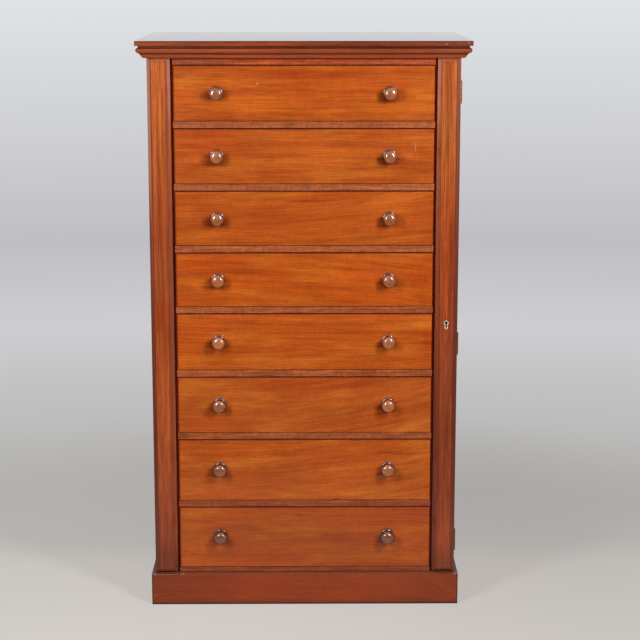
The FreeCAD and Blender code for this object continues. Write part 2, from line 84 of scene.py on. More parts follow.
DRAWER_COUNT = 8
FULL_TURN = 2 * math.pi
HALF_TURN = math.pi
SMOOTH_ANGLE = math.radians(32.0)
FLAT_ANGLE = math.radians(0.5)
SAME_PLACE = 1e-6

# Places of the colours among the sockets of a Mix node

MIX_FIRST = 6
MIX_SECOND = 7
MIX_RESULT = 2

# How a screen shows a linear level

SCREEN_TOE = 0.04045
SCREEN_SLOPE = 12.92
SCREEN_LIFT = 0.055
SCREEN_POWER = 2.4


def linear(level: int) -> float:
    """Turn a level as it looks on a screen into the level that shaders use.

    Args:
        level: The level as seen, from 0 to 255.

    Returns:
        The linear level, from 0 to 1.
    """
    share = level / 255
    if share <= SCREEN_TOE:
        return share / SCREEN_SLOPE
    return ((share + SCREEN_LIFT) / (1 + SCREEN_LIFT)) ** SCREEN_POWER


def paint(red: int, green: int, blue: int) -> Colour:
    """Linear colour of a red, green and blue as they look on a screen, 0 to 255."""
    return linear(red), linear(green), linear(blue)


def toned(colour: Colour, tone: float) -> Colour:
    """Make a colour paler or darker."""
    return tuple(level * tone for level in colour)


def tinted(colour: Colour, tint: Colour) -> Colour:
    """Multiply a colour by a tint."""
    return tuple(level * share for level, share in zip(colour, tint))


class Axis(Enum):
    """An axis of the chest: across it, from its front to its back, and upwards."""

    X = "X"
    Y = "Y"
    Z = "Z"


class Grain(Enum):
    """Direction in which a board's fibres run, with the axes along, across and through the board."""

    ALONG_X = (Axis.X, Axis.Z, Axis.Y)
    ALONG_Y = (Axis.Y, Axis.X, Axis.Z)
    ALONG_Z = (Axis.Z, Axis.X, Axis.Y)


class Facing(Enum):
    """Which way the top of a small piece looks, as a direction along Y."""

    FRONT = -1.0
    BACK = 1.0


class NodePen:
    """Draws nodes into one node tree, a line at a time."""

    def __init__(self, tree: bpy.types.NodeTree) -> None:
        """Keep the tree and empty it."""
        self.tree = tree
        tree.nodes.clear()

    def node(self, kind: str, **inputs: object) -> bpy.types.Node:
        """Add a node.

        Args:
            kind: The node's type.
            inputs: Values or sockets for its inputs, with an underscore for each space in a name.

        Returns:
            The node.
        """
        made = self.tree.nodes.new(kind)
        for name, value in inputs.items():
            self.feed(made.inputs[name.replace("_", " ")], value)
        return made

    def feed(self, socket: Socket, value: object) -> None:
        """Give an input its value.

        Args:
            socket: The input.
            value: A socket to link, or the input's own value.
        """
        if isinstance(value, bpy.types.NodeSocket):
            self.tree.links.new(value, socket)
        elif isinstance(value, tuple) and socket.type == "RGBA":
            socket.default_value = (*value, 1.0)
        else:
            socket.default_value = value

    def math(self, operation: str, first: object, second: object = 0.0) -> Socket:
        """Add a Math node.

        Args:
            operation: Blender's name for the sum.
            first: The first number.
            second: The second number, where the sum has one.

        Returns:
            The result.
        """
        made = self.node("ShaderNodeMath")
        made.operation = operation
        self.feed(made.inputs[0], first)
        self.feed(made.inputs[1], second)
        return made.outputs[0]

    def stepped(self, start: Socket, step: Socket, count: Socket) -> Socket:
        """Go a number of steps from a start.

        Args:
            start: The start, a vector.
            step: One step, a vector.
            count: How many steps.

        Returns:
            The end.
        """
        leap = self.node("ShaderNodeVectorMath")
        leap.operation = "SCALE"
        self.feed(leap.inputs[0], step)
        self.feed(leap.inputs["Scale"], count)
        end = self.node("ShaderNodeVectorMath")
        self.feed(end.inputs[0], start)
        self.feed(end.inputs[1], leap.outputs[0])
        return end.outputs[0]

    def span(
        self, value: Socket, low: float, high: float, to_low: float = 0.0, to_high: float = 1.0
    ) -> Socket:
        """Carry a value smoothly from one range to another.

        Args:
            value: The value to carry over.
            low: Start of its range.
            high: End of its range.
            to_low: What the start becomes.
            to_high: What the end becomes.

        Returns:
            The new value.
        """
        made = self.node(
            "ShaderNodeMapRange", Value=value, From_Min=low, From_Max=high, To_Min=to_low, To_Max=to_high
        )
        made.interpolation_type = "SMOOTHSTEP"
        return made.outputs["Result"]

    def mix(self, factor: object, first: object, second: object, blend: str = "MIX") -> Socket:
        """Blend two colours.

        Args:
            factor: Share of the second colour.
            first: Colour underneath.
            second: Colour on top.
            blend: Blender's name for the way of blending.

        Returns:
            The blended colour.
        """
        made = self.node("ShaderNodeMix")
        made.data_type = "RGBA"
        made.blend_type = blend
        self.feed(made.inputs[0], factor)
        self.feed(made.inputs[MIX_FIRST], first)
        self.feed(made.inputs[MIX_SECOND], second)
        return made.outputs[MIX_RESULT]

    def mix_shaders(self, factor: Socket, first: bpy.types.Node, second: bpy.types.Node) -> Socket:
        """Blend two shaders.

        Args:
            factor: Share of the second shader.
            first: Shader underneath.
            second: Shader on top.

        Returns:
            The blended shader.
        """
        made = self.node("ShaderNodeMixShader", Fac=factor)
        self.feed(made.inputs[1], first.outputs[0])
        self.feed(made.inputs[2], second.outputs[0])
        return made.outputs[0]

    def tint(self, share: Socket, body: Socket, tint: Colour) -> Socket:
        """Multiply a share of a colour by a tint."""
        return self.mix(share, body, self.mix(1.0, body, tint, "MULTIPLY"))

    def vary(self, body: Socket, pattern: Socket, pattern_span: Span, strength: float) -> Socket:
        """Make a colour paler and darker along a pattern."""
        levels = self.span(pattern, *pattern_span, 1.0 - strength, 1.0 + strength)
        return self.mix(1.0, body, self.grey(levels), "MULTIPLY")

    def grey(self, value: Socket) -> Socket:
        """Turn a number into a grey of that brightness."""
        return self.node("ShaderNodeCombineColor", Red=value, Green=value, Blue=value).outputs[0]

    def vector(self, x: object, y: object, z: object) -> Socket:
        """Join three numbers into a vector."""
        return self.node("ShaderNodeCombineXYZ", X=x, Y=y, Z=z).outputs[0]

    def axes(self, vector: Socket) -> dict[Axis, Socket]:
        """Split a vector into its three numbers."""
        parts = self.node("ShaderNodeSeparateXYZ", Vector=vector).outputs
        return {axis: parts[axis.value] for axis in Axis}

    def place(self) -> Socket:
        """Place of a point on its object."""
        return self.node("ShaderNodeTexCoord").outputs["Object"]

    def noise(self, place: Socket, scale: float = 1.0, detail: float = 2.0, rough: float = 0.5) -> Socket:
        """Add a noise pattern.

        Args:
            place: Where the pattern is read.
            scale: Waves in each unit of the place.
            detail: How many finer layers it has.
            rough: Weight of the finer layers.

        Returns:
            The pattern's value, from 0 to 1.
        """
        made = self.node("ShaderNodeTexNoise", Vector=place, Scale=scale, Detail=detail, Roughness=rough)
        return made.outputs["Fac"]

    def shade_and_dust_corners(
        self, body: Socket, corner_darkening: CornerShadeAndDust, dark: Colour, strength: float, reach: float
    ) -> Socket:
        """Darken a colour where faces meet: painted shade with old polish and dust on timber, and tarnish
        on metal.

        Args:
            body: The colour.
            corner_darkening: How the darkening gathers on it.
            dark: Colour of the streaks or patches that the darkening goes with.
            strength: Share of the darkening in a closed corner.
            reach: How far out of a corner it spreads.

        Returns:
            The darkened colour.
        """
        corner = self.node("ShaderNodeAmbientOcclusion", Distance=reach)
        corner.samples = corner_darkening.rays
        shade = self.span(corner.outputs["AO"], *corner_darkening.open_span, strength, 0.0)
        return self.mix(shade, body, toned(dark, corner_darkening.tone))


@dataclass(frozen=True)
class CornerShadeAndDust:
    """Painted shade in corners, with old polish and dust on timber and tarnish on metal.

    Attributes:
        open_span: From a closed corner, with all the darkening, to an open face without it.
        tone: How dark it is beside the finish's own dark colour.
        rays: Rays for each point.
    """

    open_span: Span
    tone: float
    rays: int


@dataclass(frozen=True)
class Zone:
    """An oval place on a face that looks to the front, or upwards.

    Attributes:
        x: Place across the chest.
        place: Height of the place, or its depth on a face that looks upwards.
        width: Half its width.
        height: Half its height, or half its depth.
        tint: Its colour, or its tint.
        axis: Axis of the height or depth.
    """

    x: float
    place: float
    width: float
    height: float
    tint: Colour
    axis: Axis = Axis.Z

    def reach(self, pen: NodePen, axes: dict[Axis, Socket]) -> Socket:
        """Measure how far from the middle a point lies.

        Args:
            pen: Where to draw.
            axes: Place of the point.

        Returns:
            Square of the distance, which is 1 on the rim.
        """
        across = pen.math("DIVIDE", pen.math("SUBTRACT", axes[Axis.X], self.x), self.width)
        upward = pen.math("DIVIDE", pen.math("SUBTRACT", axes[self.axis], self.place), self.height)
        return pen.math("ADD", pen.math("POWER", across, 2.0), pen.math("POWER", upward, 2.0))


@dataclass(frozen=True)
class Mark(Zone):
    """A small zone in a colour of its own: a dent, chip, scratch, speck of dust, line of painted shade, or
    painted reflection.
    """


@dataclass(frozen=True)
class Patch(Zone):
    """A broad soft zone, paler, darker or redder, whose tint multiplies the board's colours."""


@dataclass(frozen=True)
class Fade:
    """A slow change of tone along one axis.

    Attributes:
        clear: Place up to which the board keeps its own colours.
        full: Place from which the change is full.
        tint: What the colours are multiplied by there.
        axis: The axis.
    """

    clear: float
    full: float
    tint: Colour
    axis: Axis = Axis.Z


@dataclass(frozen=True)
class Stroke:
    """One layer of a figure, stretched along the fibres.

    Attributes:
        length: Usual length of a stroke.
        width: Usual width of a stroke.
        detail: How many finer layers it has.
        rough: Weight of the finer layers.
    """

    length: float
    width: float
    detail: float
    rough: float = 0.60

    def layer(self, pen: NodePen, fibres: Sequence[Socket]) -> Socket:
        """Draw the layer.

        Args:
            pen: Where to draw.
            fibres: The board's own directions.

        Returns:
            The layer's value, from 0 to 1.
        """
        along, across, through = fibres
        place = pen.vector(
            pen.math("DIVIDE", along, self.length),
            pen.math("DIVIDE", across, self.width),
            pen.math("DIVIDE", through, self.width),
        )
        return pen.noise(place, detail=self.detail, rough=self.rough)


# Patterns that all timbers share

FINE_LINES = Stroke(0.055, 0.0020, 3.0)
PORES = Stroke(0.012, 0.0008, 1.0)
CLOUDS = Stroke(0.13, 0.065, 2.0)
FLECKS = Stroke(0.006, 0.012, 3.0)
NOISE_MIDDLE = 0.5
BROAD_SPAN = (0.25, 0.75)
LINE_SPAN = (0.30, 0.70)
STREAK_HALF_SPAN = 0.26
STREAK_DETAIL = 6.0
BEND_LENGTH = 0.9
BEND_WIDTH = 0.18
GLOW_LENGTH = 0.7
GLOW_WIDTH = 4
GLOW_DETAIL = 3.0
GLOW_SPAN = (0.45, 0.75)
GLOW_SHARE = 0.7
PORE_SPAN = (0.62, 0.74)
PORE_TONE = 0.30
PATCH_SPAN = (0.7, 1.9)
PATCH_FRINGE = 1.6
MARK_SPAN = (0.7, 1.5)
MARK_SHARE = 0.85
RAGGED_SCALE = 900.0
RAGGED_DETAIL = 1.0
ROUGH_SPAN = (0.2, 0.8)
SMOOTHER = 0.06
ROUGHER = 0.08
LINE_HEIGHT = 0.5
TIMBER_BUMP = 0.6
# Painted shade in the corners of timber, with old polish and dust
TIMBER_CORNER_SHADE = CornerShadeAndDust((0.25, 0.95), 0.16, 6)


def blank_material(name: str) -> tuple[bpy.types.Material, NodePen]:
    """Make an empty material.

    Args:
        name: Its name.

    Returns:
        The material and a pen for its nodes.
    """
    made = bpy.data.materials.new(name)
    made.use_nodes = True
    return made, NodePen(made.node_tree)


@dataclass(frozen=True)
class Timber:
    """A board's colours, figure and polish.

    Attributes:
        name: Name of the material.
        light: Colour of the pale streaks.
        dark: Colour of the dark streaks.
        glow: Colour of broad zones with more red or gold.
        grain: Which way the fibres run.
        shift: Where in the pattern the board was cut.
        streak_width: Usual width of a streak.
        streak_length: Usual length of a streak.
        wander: How far streaks stray sideways.
        bow: How strongly the streaks rise towards the right end of the board.
        bow_start: Where along the board they begin to rise.
        contrast: Strength of the streaks.
        cloud: Strength of broad lighter and darker patches.
        fleck: Strength of the short cross figure.
        pores: Strength of the dark pores.
        fibre: Strength of the fine lines.
        corner_shade_and_dust: Painted shade in corners and grooves, with old polish and dust.
        corner_shade_reach: How far out of a corner the painted shade spreads.
        rough: Roughness of the surface under the polish.
        coat: Weight of the polish.
        coat_rough: Roughness of the polish.
        coat_ior: Refractive index of the polish; more gives stronger reflections.
        relief: Depth of the grain under the polish.
        fade: A slow change of tone, if the board has one.
        patches: Broad zones that belong to one board.
        marks: Dents, scratches and specks of dust that belong to one board, and its lines of painted shade
            and painted reflection.
    """

    name: str
    light: Colour
    dark: Colour
    glow: Colour
    grain: Grain
    shift: Point = (0.0, 0.0, 0.0)
    streak_width: float = 0.010
    streak_length: float = 0.28
    wander: float = 0.006
    bow: float = 0.0
    bow_start: float = 0.0
    contrast: float = 0.85
    cloud: float = 0.10
    fleck: float = 0.04
    pores: float = 0.40
    fibre: float = 0.17
    corner_shade_and_dust: float = 0.35
    corner_shade_reach: float = 0.007
    rough: float = 0.26
    coat: float = 0.35
    coat_rough: float = 0.12
    coat_ior: float = 1.5
    relief: float = 0.00012
    fade: Fade | None = None
    patches: tuple[Patch, ...] = ()
    marks: tuple[Mark, ...] = ()

    def fibres(self, pen: NodePen) -> tuple[Socket, Socket, Socket]:
        """Lay the board's own directions: along the fibres, across them and through the board.

        Args:
            pen: Where to draw.

        Returns:
            The three distances, with the across one straying as the fibres do.
        """
        axes = pen.axes(pen.place())
        along, across, through = (
            pen.math("ADD", axes[axis], start) for axis, start in zip(self.grain.value, self.shift)
        )
        bend_length = BEND_LENGTH / self.streak_length
        bend_width = BEND_WIDTH / self.streak_width
        bend_place = pen.vector(
            pen.math("MULTIPLY", along, bend_length),
            pen.math("MULTIPLY", across, bend_width),
            pen.math("MULTIPLY", through, bend_width),
        )
        bend = pen.math("SUBTRACT", pen.noise(bend_place), NOISE_MIDDLE)
        strayed = pen.math("ADD", across, pen.math("MULTIPLY", bend, self.wander * 2))
        if self.bow:
            run = pen.math("SUBTRACT", along, self.bow_start + self.shift[0])
            rise = pen.math("POWER", pen.math("MAXIMUM", run, 0.0), 2.0)
            strayed = pen.math("SUBTRACT", strayed, pen.math("MULTIPLY", rise, self.bow))
        return along, strayed, through

    def colour(self, pen: NodePen, fibres: Sequence[Socket], fine: Socket, holes: Socket) -> Socket:
        """Paint the timber.

        Args:
            pen: Where to draw.
            fibres: The board's own directions.
            fine: The fine fibre lines.
            holes: Where pores are open.

        Returns:
            The colour before wear.
        """
        streaks = Stroke(self.streak_length, self.streak_width, STREAK_DETAIL).layer(pen, fibres)
        half = STREAK_HALF_SPAN / self.contrast
        body = pen.mix(pen.span(streaks, NOISE_MIDDLE - half, NOISE_MIDDLE + half), self.dark, self.light)
        glow = Stroke(self.streak_length * GLOW_LENGTH, self.streak_width * GLOW_WIDTH, GLOW_DETAIL)
        body = pen.mix(pen.span(glow.layer(pen, fibres), *GLOW_SPAN, 0.0, GLOW_SHARE), body, self.glow)
        body = self.patched(pen, body, streaks)
        body = pen.vary(body, CLOUDS.layer(pen, fibres), BROAD_SPAN, self.cloud)
        body = pen.vary(body, FLECKS.layer(pen, fibres), BROAD_SPAN, self.fleck)
        body = pen.vary(body, fine, LINE_SPAN, self.fibre)
        return pen.mix(holes, body, toned(self.dark, PORE_TONE))

    def patched(self, pen: NodePen, body: Socket, streaks: Socket) -> Socket:
        """Tint the board's own broad zones, which end in streaks.

        Args:
            pen: Where to draw.
            body: The colour underneath.
            streaks: The figure's streaks.

        Returns:
            The tinted colour.
        """
        axes = pen.axes(pen.place())
        for patch in self.patches:
            fringe = pen.math("ADD", patch.reach(pen, axes), pen.math("MULTIPLY", streaks, PATCH_FRINGE))
            body = pen.tint(pen.span(fringe, *PATCH_SPAN, 1.0, 0.0), body, patch.tint)
        return body

    def shaded_and_worn(self, pen: NodePen, body: Socket) -> Socket:
        """Tint along the fade, darken corners with painted shade, old polish and dust, and set the board's
        own marks, among them painted shade and painted reflections.

        Args:
            pen: Where to draw.
            body: The colour before wear.

        Returns:
            The colour with painted shade and wear.
        """
        place = pen.place()
        axes = pen.axes(place)
        if self.fade:
            change = pen.span(axes[self.fade.axis], self.fade.clear, self.fade.full)
            body = pen.tint(change, body, self.fade.tint)
        if self.corner_shade_and_dust:
            body = pen.shade_and_dust_corners(body, TIMBER_CORNER_SHADE, self.dark, self.corner_shade_and_dust, self.corner_shade_reach)
        ragged = pen.noise(place, RAGGED_SCALE, RAGGED_DETAIL)
        for mark in self.marks:
            reach = pen.math("ADD", mark.reach(pen, axes), ragged)
            body = pen.mix(pen.span(reach, *MARK_SPAN, MARK_SHARE, 0.0), body, mark.tint)
        return body

    def material(self) -> bpy.types.Material:
        """Make the material.

        Returns:
            The material.
        """
        made, pen = blank_material(self.name)
        fibres = self.fibres(pen)
        fine = FINE_LINES.layer(pen, fibres)
        holes = pen.span(PORES.layer(pen, fibres), *PORE_SPAN, 0.0, self.pores)
        body = self.shaded_and_worn(pen, self.colour(pen, fibres, fine, holes))
        rough = pen.span(fine, *ROUGH_SPAN, self.rough - SMOOTHER, self.rough + ROUGHER)
        height = pen.math("SUBTRACT", pen.math("MULTIPLY", fine, LINE_HEIGHT), holes)
        bump = pen.node("ShaderNodeBump", Strength=TIMBER_BUMP, Distance=self.relief, Height=height)
        surface = pen.node(
            "ShaderNodeBsdfPrincipled", Base_Color=body, Roughness=rough, Normal=bump.outputs[0],
            Coat_Weight=self.coat, Coat_Roughness=self.coat_rough, Coat_IOR=self.coat_ior,
        )
        pen.node("ShaderNodeOutputMaterial", Surface=surface.outputs[0])
        return made


# Patterns that all metals share

TARNISH_SPAN = (0.75, 0.95)
TARNISH_SHIFT = 0.5
TARNISH_DETAIL = 5.0
TARNISH_ROUGH = 0.65
TARNISH_ROUGHER = 0.22
SCRATCH_SCALE = 2600.0
SCRATCH_ROUGHER = 0.10
SCRATCH_BUMP = 0.4
SCRATCH_DEPTH = 0.00005
METAL_DIRT = CornerShadeAndDust((0.3, 0.95), 0.2, 4)
METAL_DIRT_SHARE = 0.8
METAL_DIRT_REACH = 0.003


@dataclass(frozen=True)
class Metal:
    """A metal with tarnish and fine scratches.

    Attributes:
        name: Name of the material.
        bright: Colour where it is rubbed.
        tarnish: Colour where it has aged.
        rough: Roughness where it is rubbed.
        age: Share of the surface that has aged.
        patch: Usual size of an aged patch.
    """

    name: str
    bright: Colour
    tarnish: Colour
    rough: float = 0.28
    age: float = 0.5
    patch: float = 0.006

    def material(self) -> bpy.types.Material:
        """Make the material.

        Returns:
            The material.
        """
        made, pen = blank_material(self.name)
        place = pen.place()
        patches = pen.noise(place, 1.0 / self.patch, TARNISH_DETAIL, TARNISH_ROUGH)
        aged = pen.span(patches, *(edge - self.age * TARNISH_SHIFT for edge in TARNISH_SPAN))
        scratches = pen.noise(place, SCRATCH_SCALE)
        body = pen.mix(aged, self.bright, self.tarnish)
        body = pen.shade_and_dust_corners(body, METAL_DIRT, self.tarnish, METAL_DIRT_SHARE, METAL_DIRT_REACH)
        rough = pen.span(aged, 0.0, 1.0, self.rough, self.rough + TARNISH_ROUGHER)
        rough = pen.math("ADD", rough, pen.math("MULTIPLY", scratches, SCRATCH_ROUGHER))
        bump = pen.node("ShaderNodeBump", Strength=SCRATCH_BUMP, Distance=SCRATCH_DEPTH, Height=scratches)
        surface = pen.node(
            "ShaderNodeBsdfPrincipled", Base_Color=body, Roughness=rough, Normal=bump.outputs[0],
            Metallic=1.0,
        )
        pen.node("ShaderNodeOutputMaterial", Surface=surface.outputs[0])
        return made


@cache
def material_of(finish: Timber | Metal) -> bpy.types.Material:
    """Material of a timber or metal, made at the first call."""
    return finish.material()


@dataclass(frozen=True)
class RowLayout:
    """Places of equal pieces in a row, or in several equal rows.

    Attributes:
        start: Place of the first piece.
        step: From one piece to the next.
        count: Pieces in a row.
        row_step: From one row to the next.
        rows: How many rows there are.
    """

    start: Point
    step: Point
    count: int
    row_step: Point = (0.0, 0.0, 0.0)
    rows: int = 1


class RowTree:
    """Geometry Nodes that set a small shape out in rows, each copy turned by a chance angle about Y."""

    def __init__(self) -> None:
        """Build the tree once, for all the rows of the chest."""
        self.tree = bpy.data.node_groups.new("equal_pieces_in_rows", "GeometryNodeTree")
        inputs = {
            "Shape": "Geometry", "Count": "Int", "Rows": "Int", "Seed": "Int", "Start": "Vector",
            "Step": "Vector", "Row Step": "Vector", "Turn": "Float", "Finish": "Material",
        }
        for name, kind in inputs.items():
            self.tree.interface.new_socket(name, in_out="INPUT", socket_type="NodeSocket" + kind)
        self.tree.interface.new_socket("Pieces", in_out="OUTPUT", socket_type="NodeSocketGeometry")
        self.draw(NodePen(self.tree))

    def draw(self, pen: NodePen) -> None:
        """Add the nodes, from the places of the copies to the finish.

        Args:
            pen: Where to draw.
        """
        given = pen.node("NodeGroupInput").outputs
        index = pen.node("GeometryNodeInputIndex").outputs[0]
        column = pen.math("MODULO", index, given["Count"])
        row = pen.math("FLOOR", pen.math("DIVIDE", index, given["Count"]))
        place = pen.stepped(given["Start"], given["Step"], column)
        place = pen.stepped(place, given["Row Step"], row)
        count = pen.math("MULTIPLY", given["Count"], given["Rows"])
        points = pen.node("GeometryNodePoints", Count=count, Position=place)
        chance = pen.node("FunctionNodeRandomValue", Seed=given["Seed"])
        chance.data_type = "FLOAT"
        least, most = (socket for socket in chance.inputs if socket.type == "VALUE" and socket.enabled)
        pen.feed(least, 0.0)
        pen.feed(most, given["Turn"])
        angle = next(socket for socket in chance.outputs if socket.enabled)
        turn = pen.node("FunctionNodeAxisAngleToRotation", Axis=(0.0, 1.0, 0.0), Angle=angle)
        copies = pen.node(
            "GeometryNodeInstanceOnPoints",
            Points=points.outputs[0], Instance=given["Shape"], Rotation=turn.outputs[0],
        )
        real = pen.node("GeometryNodeRealizeInstances", Geometry=copies.outputs[0])
        finish = pen.node("GeometryNodeSetMaterial", Geometry=real.outputs[0], Material=given["Finish"])
        pen.node("NodeGroupOutput", Pieces=finish.outputs[0])

    def lay(
        self, name: str, shape: bpy.types.Mesh, layout: RowLayout, finish: Timber | Metal,
        turn: float, seed: int,
    ) -> bpy.types.Object:
        """Set a shape out in rows as one plain mesh.

        Args:
            name: Name of the new piece.
            shape: The small shape, about the origin.
            layout: Places of the copies.
            finish: Timber or metal of all copies.
            turn: Largest chance angle about Y.
            seed: Fixes the chance angles.

        Returns:
            The new piece, which has no modifier.
        """
        source = bpy.data.objects.new(name + "_source", shape)
        bpy.context.scene.collection.objects.link(source)
        modifier = source.modifiers.new("rows", "NODES")
        modifier.node_group = self.tree
        values = {
            "Count": layout.count, "Rows": layout.rows, "Seed": seed, "Start": layout.start,
            "Step": layout.step, "Row Step": layout.row_step, "Turn": turn, "Finish": material_of(finish),
        }
        for item in self.tree.interface.items_tree:
            if item.name in values:
                modifier[item.identifier] = values[item.name]
        depsgraph = bpy.context.evaluated_depsgraph_get()
        mesh = bpy.data.meshes.new_from_object(source.evaluated_get(depsgraph))
        bpy.data.objects.remove(source)
        return place_mesh(name, mesh)


@cache
def row_tree() -> RowTree:
    """The tree for rows, built at the first call."""
    return RowTree()


def place_mesh(name: str, mesh: bpy.types.Mesh) -> bpy.types.Object:
    """Show a mesh as an object at the origin.

    Args:
        name: Name of the object.
        mesh: Its mesh, already in place.

    Returns:
        The object.
    """
    mesh.name = name
    made = bpy.data.objects.new(name, mesh)
    bpy.context.scene.collection.objects.link(made)
    return made


def mesh_of(name: str, form: bmesh.types.BMesh) -> bpy.types.Mesh:
    """Turn a form into a mesh and let the form go.

    Args:
        name: Name of the mesh.
        form: The form.

    Returns:
        The mesh.
    """
    mesh = bpy.data.meshes.new(name)
    form.to_mesh(mesh)
    form.free()
    return mesh


def smooth(mesh: bpy.types.Mesh) -> None:
    """Smooth a mesh between its sharp edges."""
    mesh.shade_smooth()
    mesh.set_sharp_from_angle(angle=SMOOTH_ANGLE)


def turned(name: str, profile: Sequence[Ring], sides: int, facing: Facing) -> bpy.types.Mesh:
    """Turn a profile about the Y axis, as on a lathe.

    Args:
        name: Name of the mesh.
        profile: Radius and height of each ring, from the foot to the top; both ends lie on the axis.
        sides: How many sides each ring has.
        facing: Which way the top looks.

    Returns:
        The closed, smooth mesh.
    """
    form = bmesh.new()
    turns = [FULL_TURN * side / sides for side in range(sides)]
    rings = []
    for radius, height in profile:
        y = facing.value * height
        if radius <= 0.0:
            rings.append([form.verts.new((0.0, y, 0.0))] * sides)
            continue
        places = [(radius * math.cos(turn), y, radius * math.sin(turn)) for turn in turns]
        rings.append([form.verts.new(place) for place in places])
    for lower, upper in zip(rings, rings[1:]):
        for side in range(sides):
            corners = [lower[side - 1], lower[side], upper[side], upper[side - 1]]
            form.faces.new(list(dict.fromkeys(corners)))
    bmesh.ops.recalc_face_normals(form, faces=form.faces)
    mesh = mesh_of(name, form)
    smooth(mesh)
    return mesh


def merged_form(node: str) -> bmesh.types.BMesh:
    """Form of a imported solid, with its loose triangles joined.

    Args:
        node: Name of the solid's node.

    Returns:
        The form.
    """
    form = bmesh.new()
    form.from_mesh(frame["nodes"][node].data)
    bmesh.ops.remove_doubles(form, verts=form.verts, dist=SAME_PLACE)
    return form


def loose_boxes(node: str) -> list[tuple[Vector, Vector]]:
    """Corners of each separate solid in a node, from the lowest up.

    Args:
        node: Name of the node.

    Returns:
        Lowest and highest corner of each solid.
    """
    form = merged_form(node)
    waiting = set(form.verts)
    boxes = []
    while waiting:
        group, edge = set(), [waiting.pop()]
        while edge:
            vertex = edge.pop()
            group.add(vertex)
            for link in vertex.link_edges:
                other = link.other_vert(vertex)
                if other in waiting:
                    waiting.discard(other)
                    edge.append(other)
        places = [vertex.co for vertex in group]
        low = Vector([min(place[axis] for place in places) for axis in range(3)])
        high = Vector([max(place[axis] for place in places) for axis in range(3)])
        boxes.append((low, high))
    form.free()
    return sorted(boxes, key=lambda box: box[0].z)


def dress_node(node: str, finish: Timber | Metal) -> None:
    """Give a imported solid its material.

    Args:
        node: Name of the solid's node.
        finish: Its timber or metal.
    """
    shown = frame["nodes"][node]
    shown.data.materials.clear()
    shown.data.materials.append(material_of(finish))
    log.info("solid %s has %s", node, finish.name)


def body_of(node: str) -> str:
    """Name of the body that a node rides on."""
    return frame["nodes"][node]["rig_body"]


def seat(piece: bpy.types.Object, body: str, slot: str, *replaced: str) -> None:
    """Put a finished piece on its body.

    Args:
        piece: The piece, in place.
        body: Name of the body it rides on.
        slot: The record's material slot, which is not used.
        replaced: Nodes that it stands for.
    """
    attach(piece, body)
    if replaced:
        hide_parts(*replaced)
    log.info("piece %s rides on %s", piece.name, body)


def smooth_copy(node: str, finish: Timber | Metal, slot: str) -> None:
    """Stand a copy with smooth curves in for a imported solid, on the solid's body.

    Args:
        node: Name of the solid's node.
        finish: Its timber or metal.
        slot: The record's material slot.
    """
    form = merged_form(node)
    bmesh.ops.dissolve_limit(form, angle_limit=FLAT_ANGLE, verts=form.verts, edges=form.edges)
    mesh = mesh_of(node + "_smooth", form)
    mesh.attributes.remove(mesh.attributes["custom_normal"])
    smooth(mesh)
    mesh.materials.append(material_of(finish))
    seat(place_mesh(node + "_smooth", mesh), body_of(node), slot, node)


# Colours of marks and tints of patches

DUST = paint(226, 190, 160)
SCRATCH = paint(216, 146, 110)
BRUISE = paint(60, 22, 10)
# Painted shade: dark lines in the cornice's recess, along the plinth's foot and ends, at the feet of the
# pilasters and on the ledge behind them; on the top board's front arris, old polish and dust
SHADE_AND_SOILED_ARRIS = paint(58, 20, 12)
GAP_SHADE = paint(96, 24, 5)
END_SHADE = paint(140, 54, 18)
# Painted shade in the quirks of the pilaster borders, lighter in their inner quirks
QUIRK_SHADE = paint(104, 38, 16)
INNER_QUIRK_SHADE = paint(136, 58, 26)
LEDGE_DUST = paint(150, 86, 62)
LEDGE_BLOOM = paint(204, 168, 142)
# Painted shade: a dark purple-grey over the tops of the plinth's side ledges
SIDE_LEDGE_SHADE = paint(96, 56, 50)
# Painted shade and painted reflections on the splays of the pilaster borders: dark shade, a pale pinkish
# reflection near the top and along the top border, and a redder sheen lower down
SPLAY_SHADE = paint(116, 48, 26)
SPLAY_REFLECTION = paint(190, 128, 110)
SPLAY_SHEEN = paint(150, 80, 54)
GOLD_TINT = (1.12, 1.32, 1.35)
WARM_TINT = (1.07, 1.18, 1.18)
RED_TINT = (0.94, 0.80, 0.72)
DARK_TINT = (0.72, 0.58, 0.50)
# Painted shadow about the knobs
KNOB_SHADOW_TINT = (0.42, 0.27, 0.21)

# Half size of a mark or patch that crosses a whole board

WHOLE = 9.0

# Drawer fronts

PALE_MAHOGANY = paint(212, 98, 24)
DEEP_MAHOGANY = paint(164, 62, 10)
GOLD_MAHOGANY = paint(218, 116, 30)
FRONT_BOW_START = -0.16
# Half heights and widths of the painted shade along the top, foot, left and right edges of a front
TOP_EDGE = 0.0020
FOOT_EDGE = 0.0012
LEFT_EDGE = 0.0034
RIGHT_EDGE = 0.0014
# Painted shadow about each knob: how far left and down it sits, its half width and its half height
KNOB_SHADOW_LEFT = 0.004
KNOB_SHADOW_DROP = 0.008
KNOB_SHADOW_WIDTH = 0.027
KNOB_SHADOW_HEIGHT = 0.0155


@dataclass(frozen=True)
class FrontFigure:
    """What sets one drawer front apart from the others.

    Attributes:
        shift: Where in the pattern it was cut.
        tint: What the usual colours are multiplied by.
        contrast: Strength of its streaks.
        bow: How strongly its streaks rise towards the right.
        patches: Its broad zones.
        marks: Its dents and scratches.
    """

    shift: Point
    tint: Colour
    contrast: float
    bow: float
    patches: tuple[Patch, ...]
    marks: tuple[Mark, ...] = ()


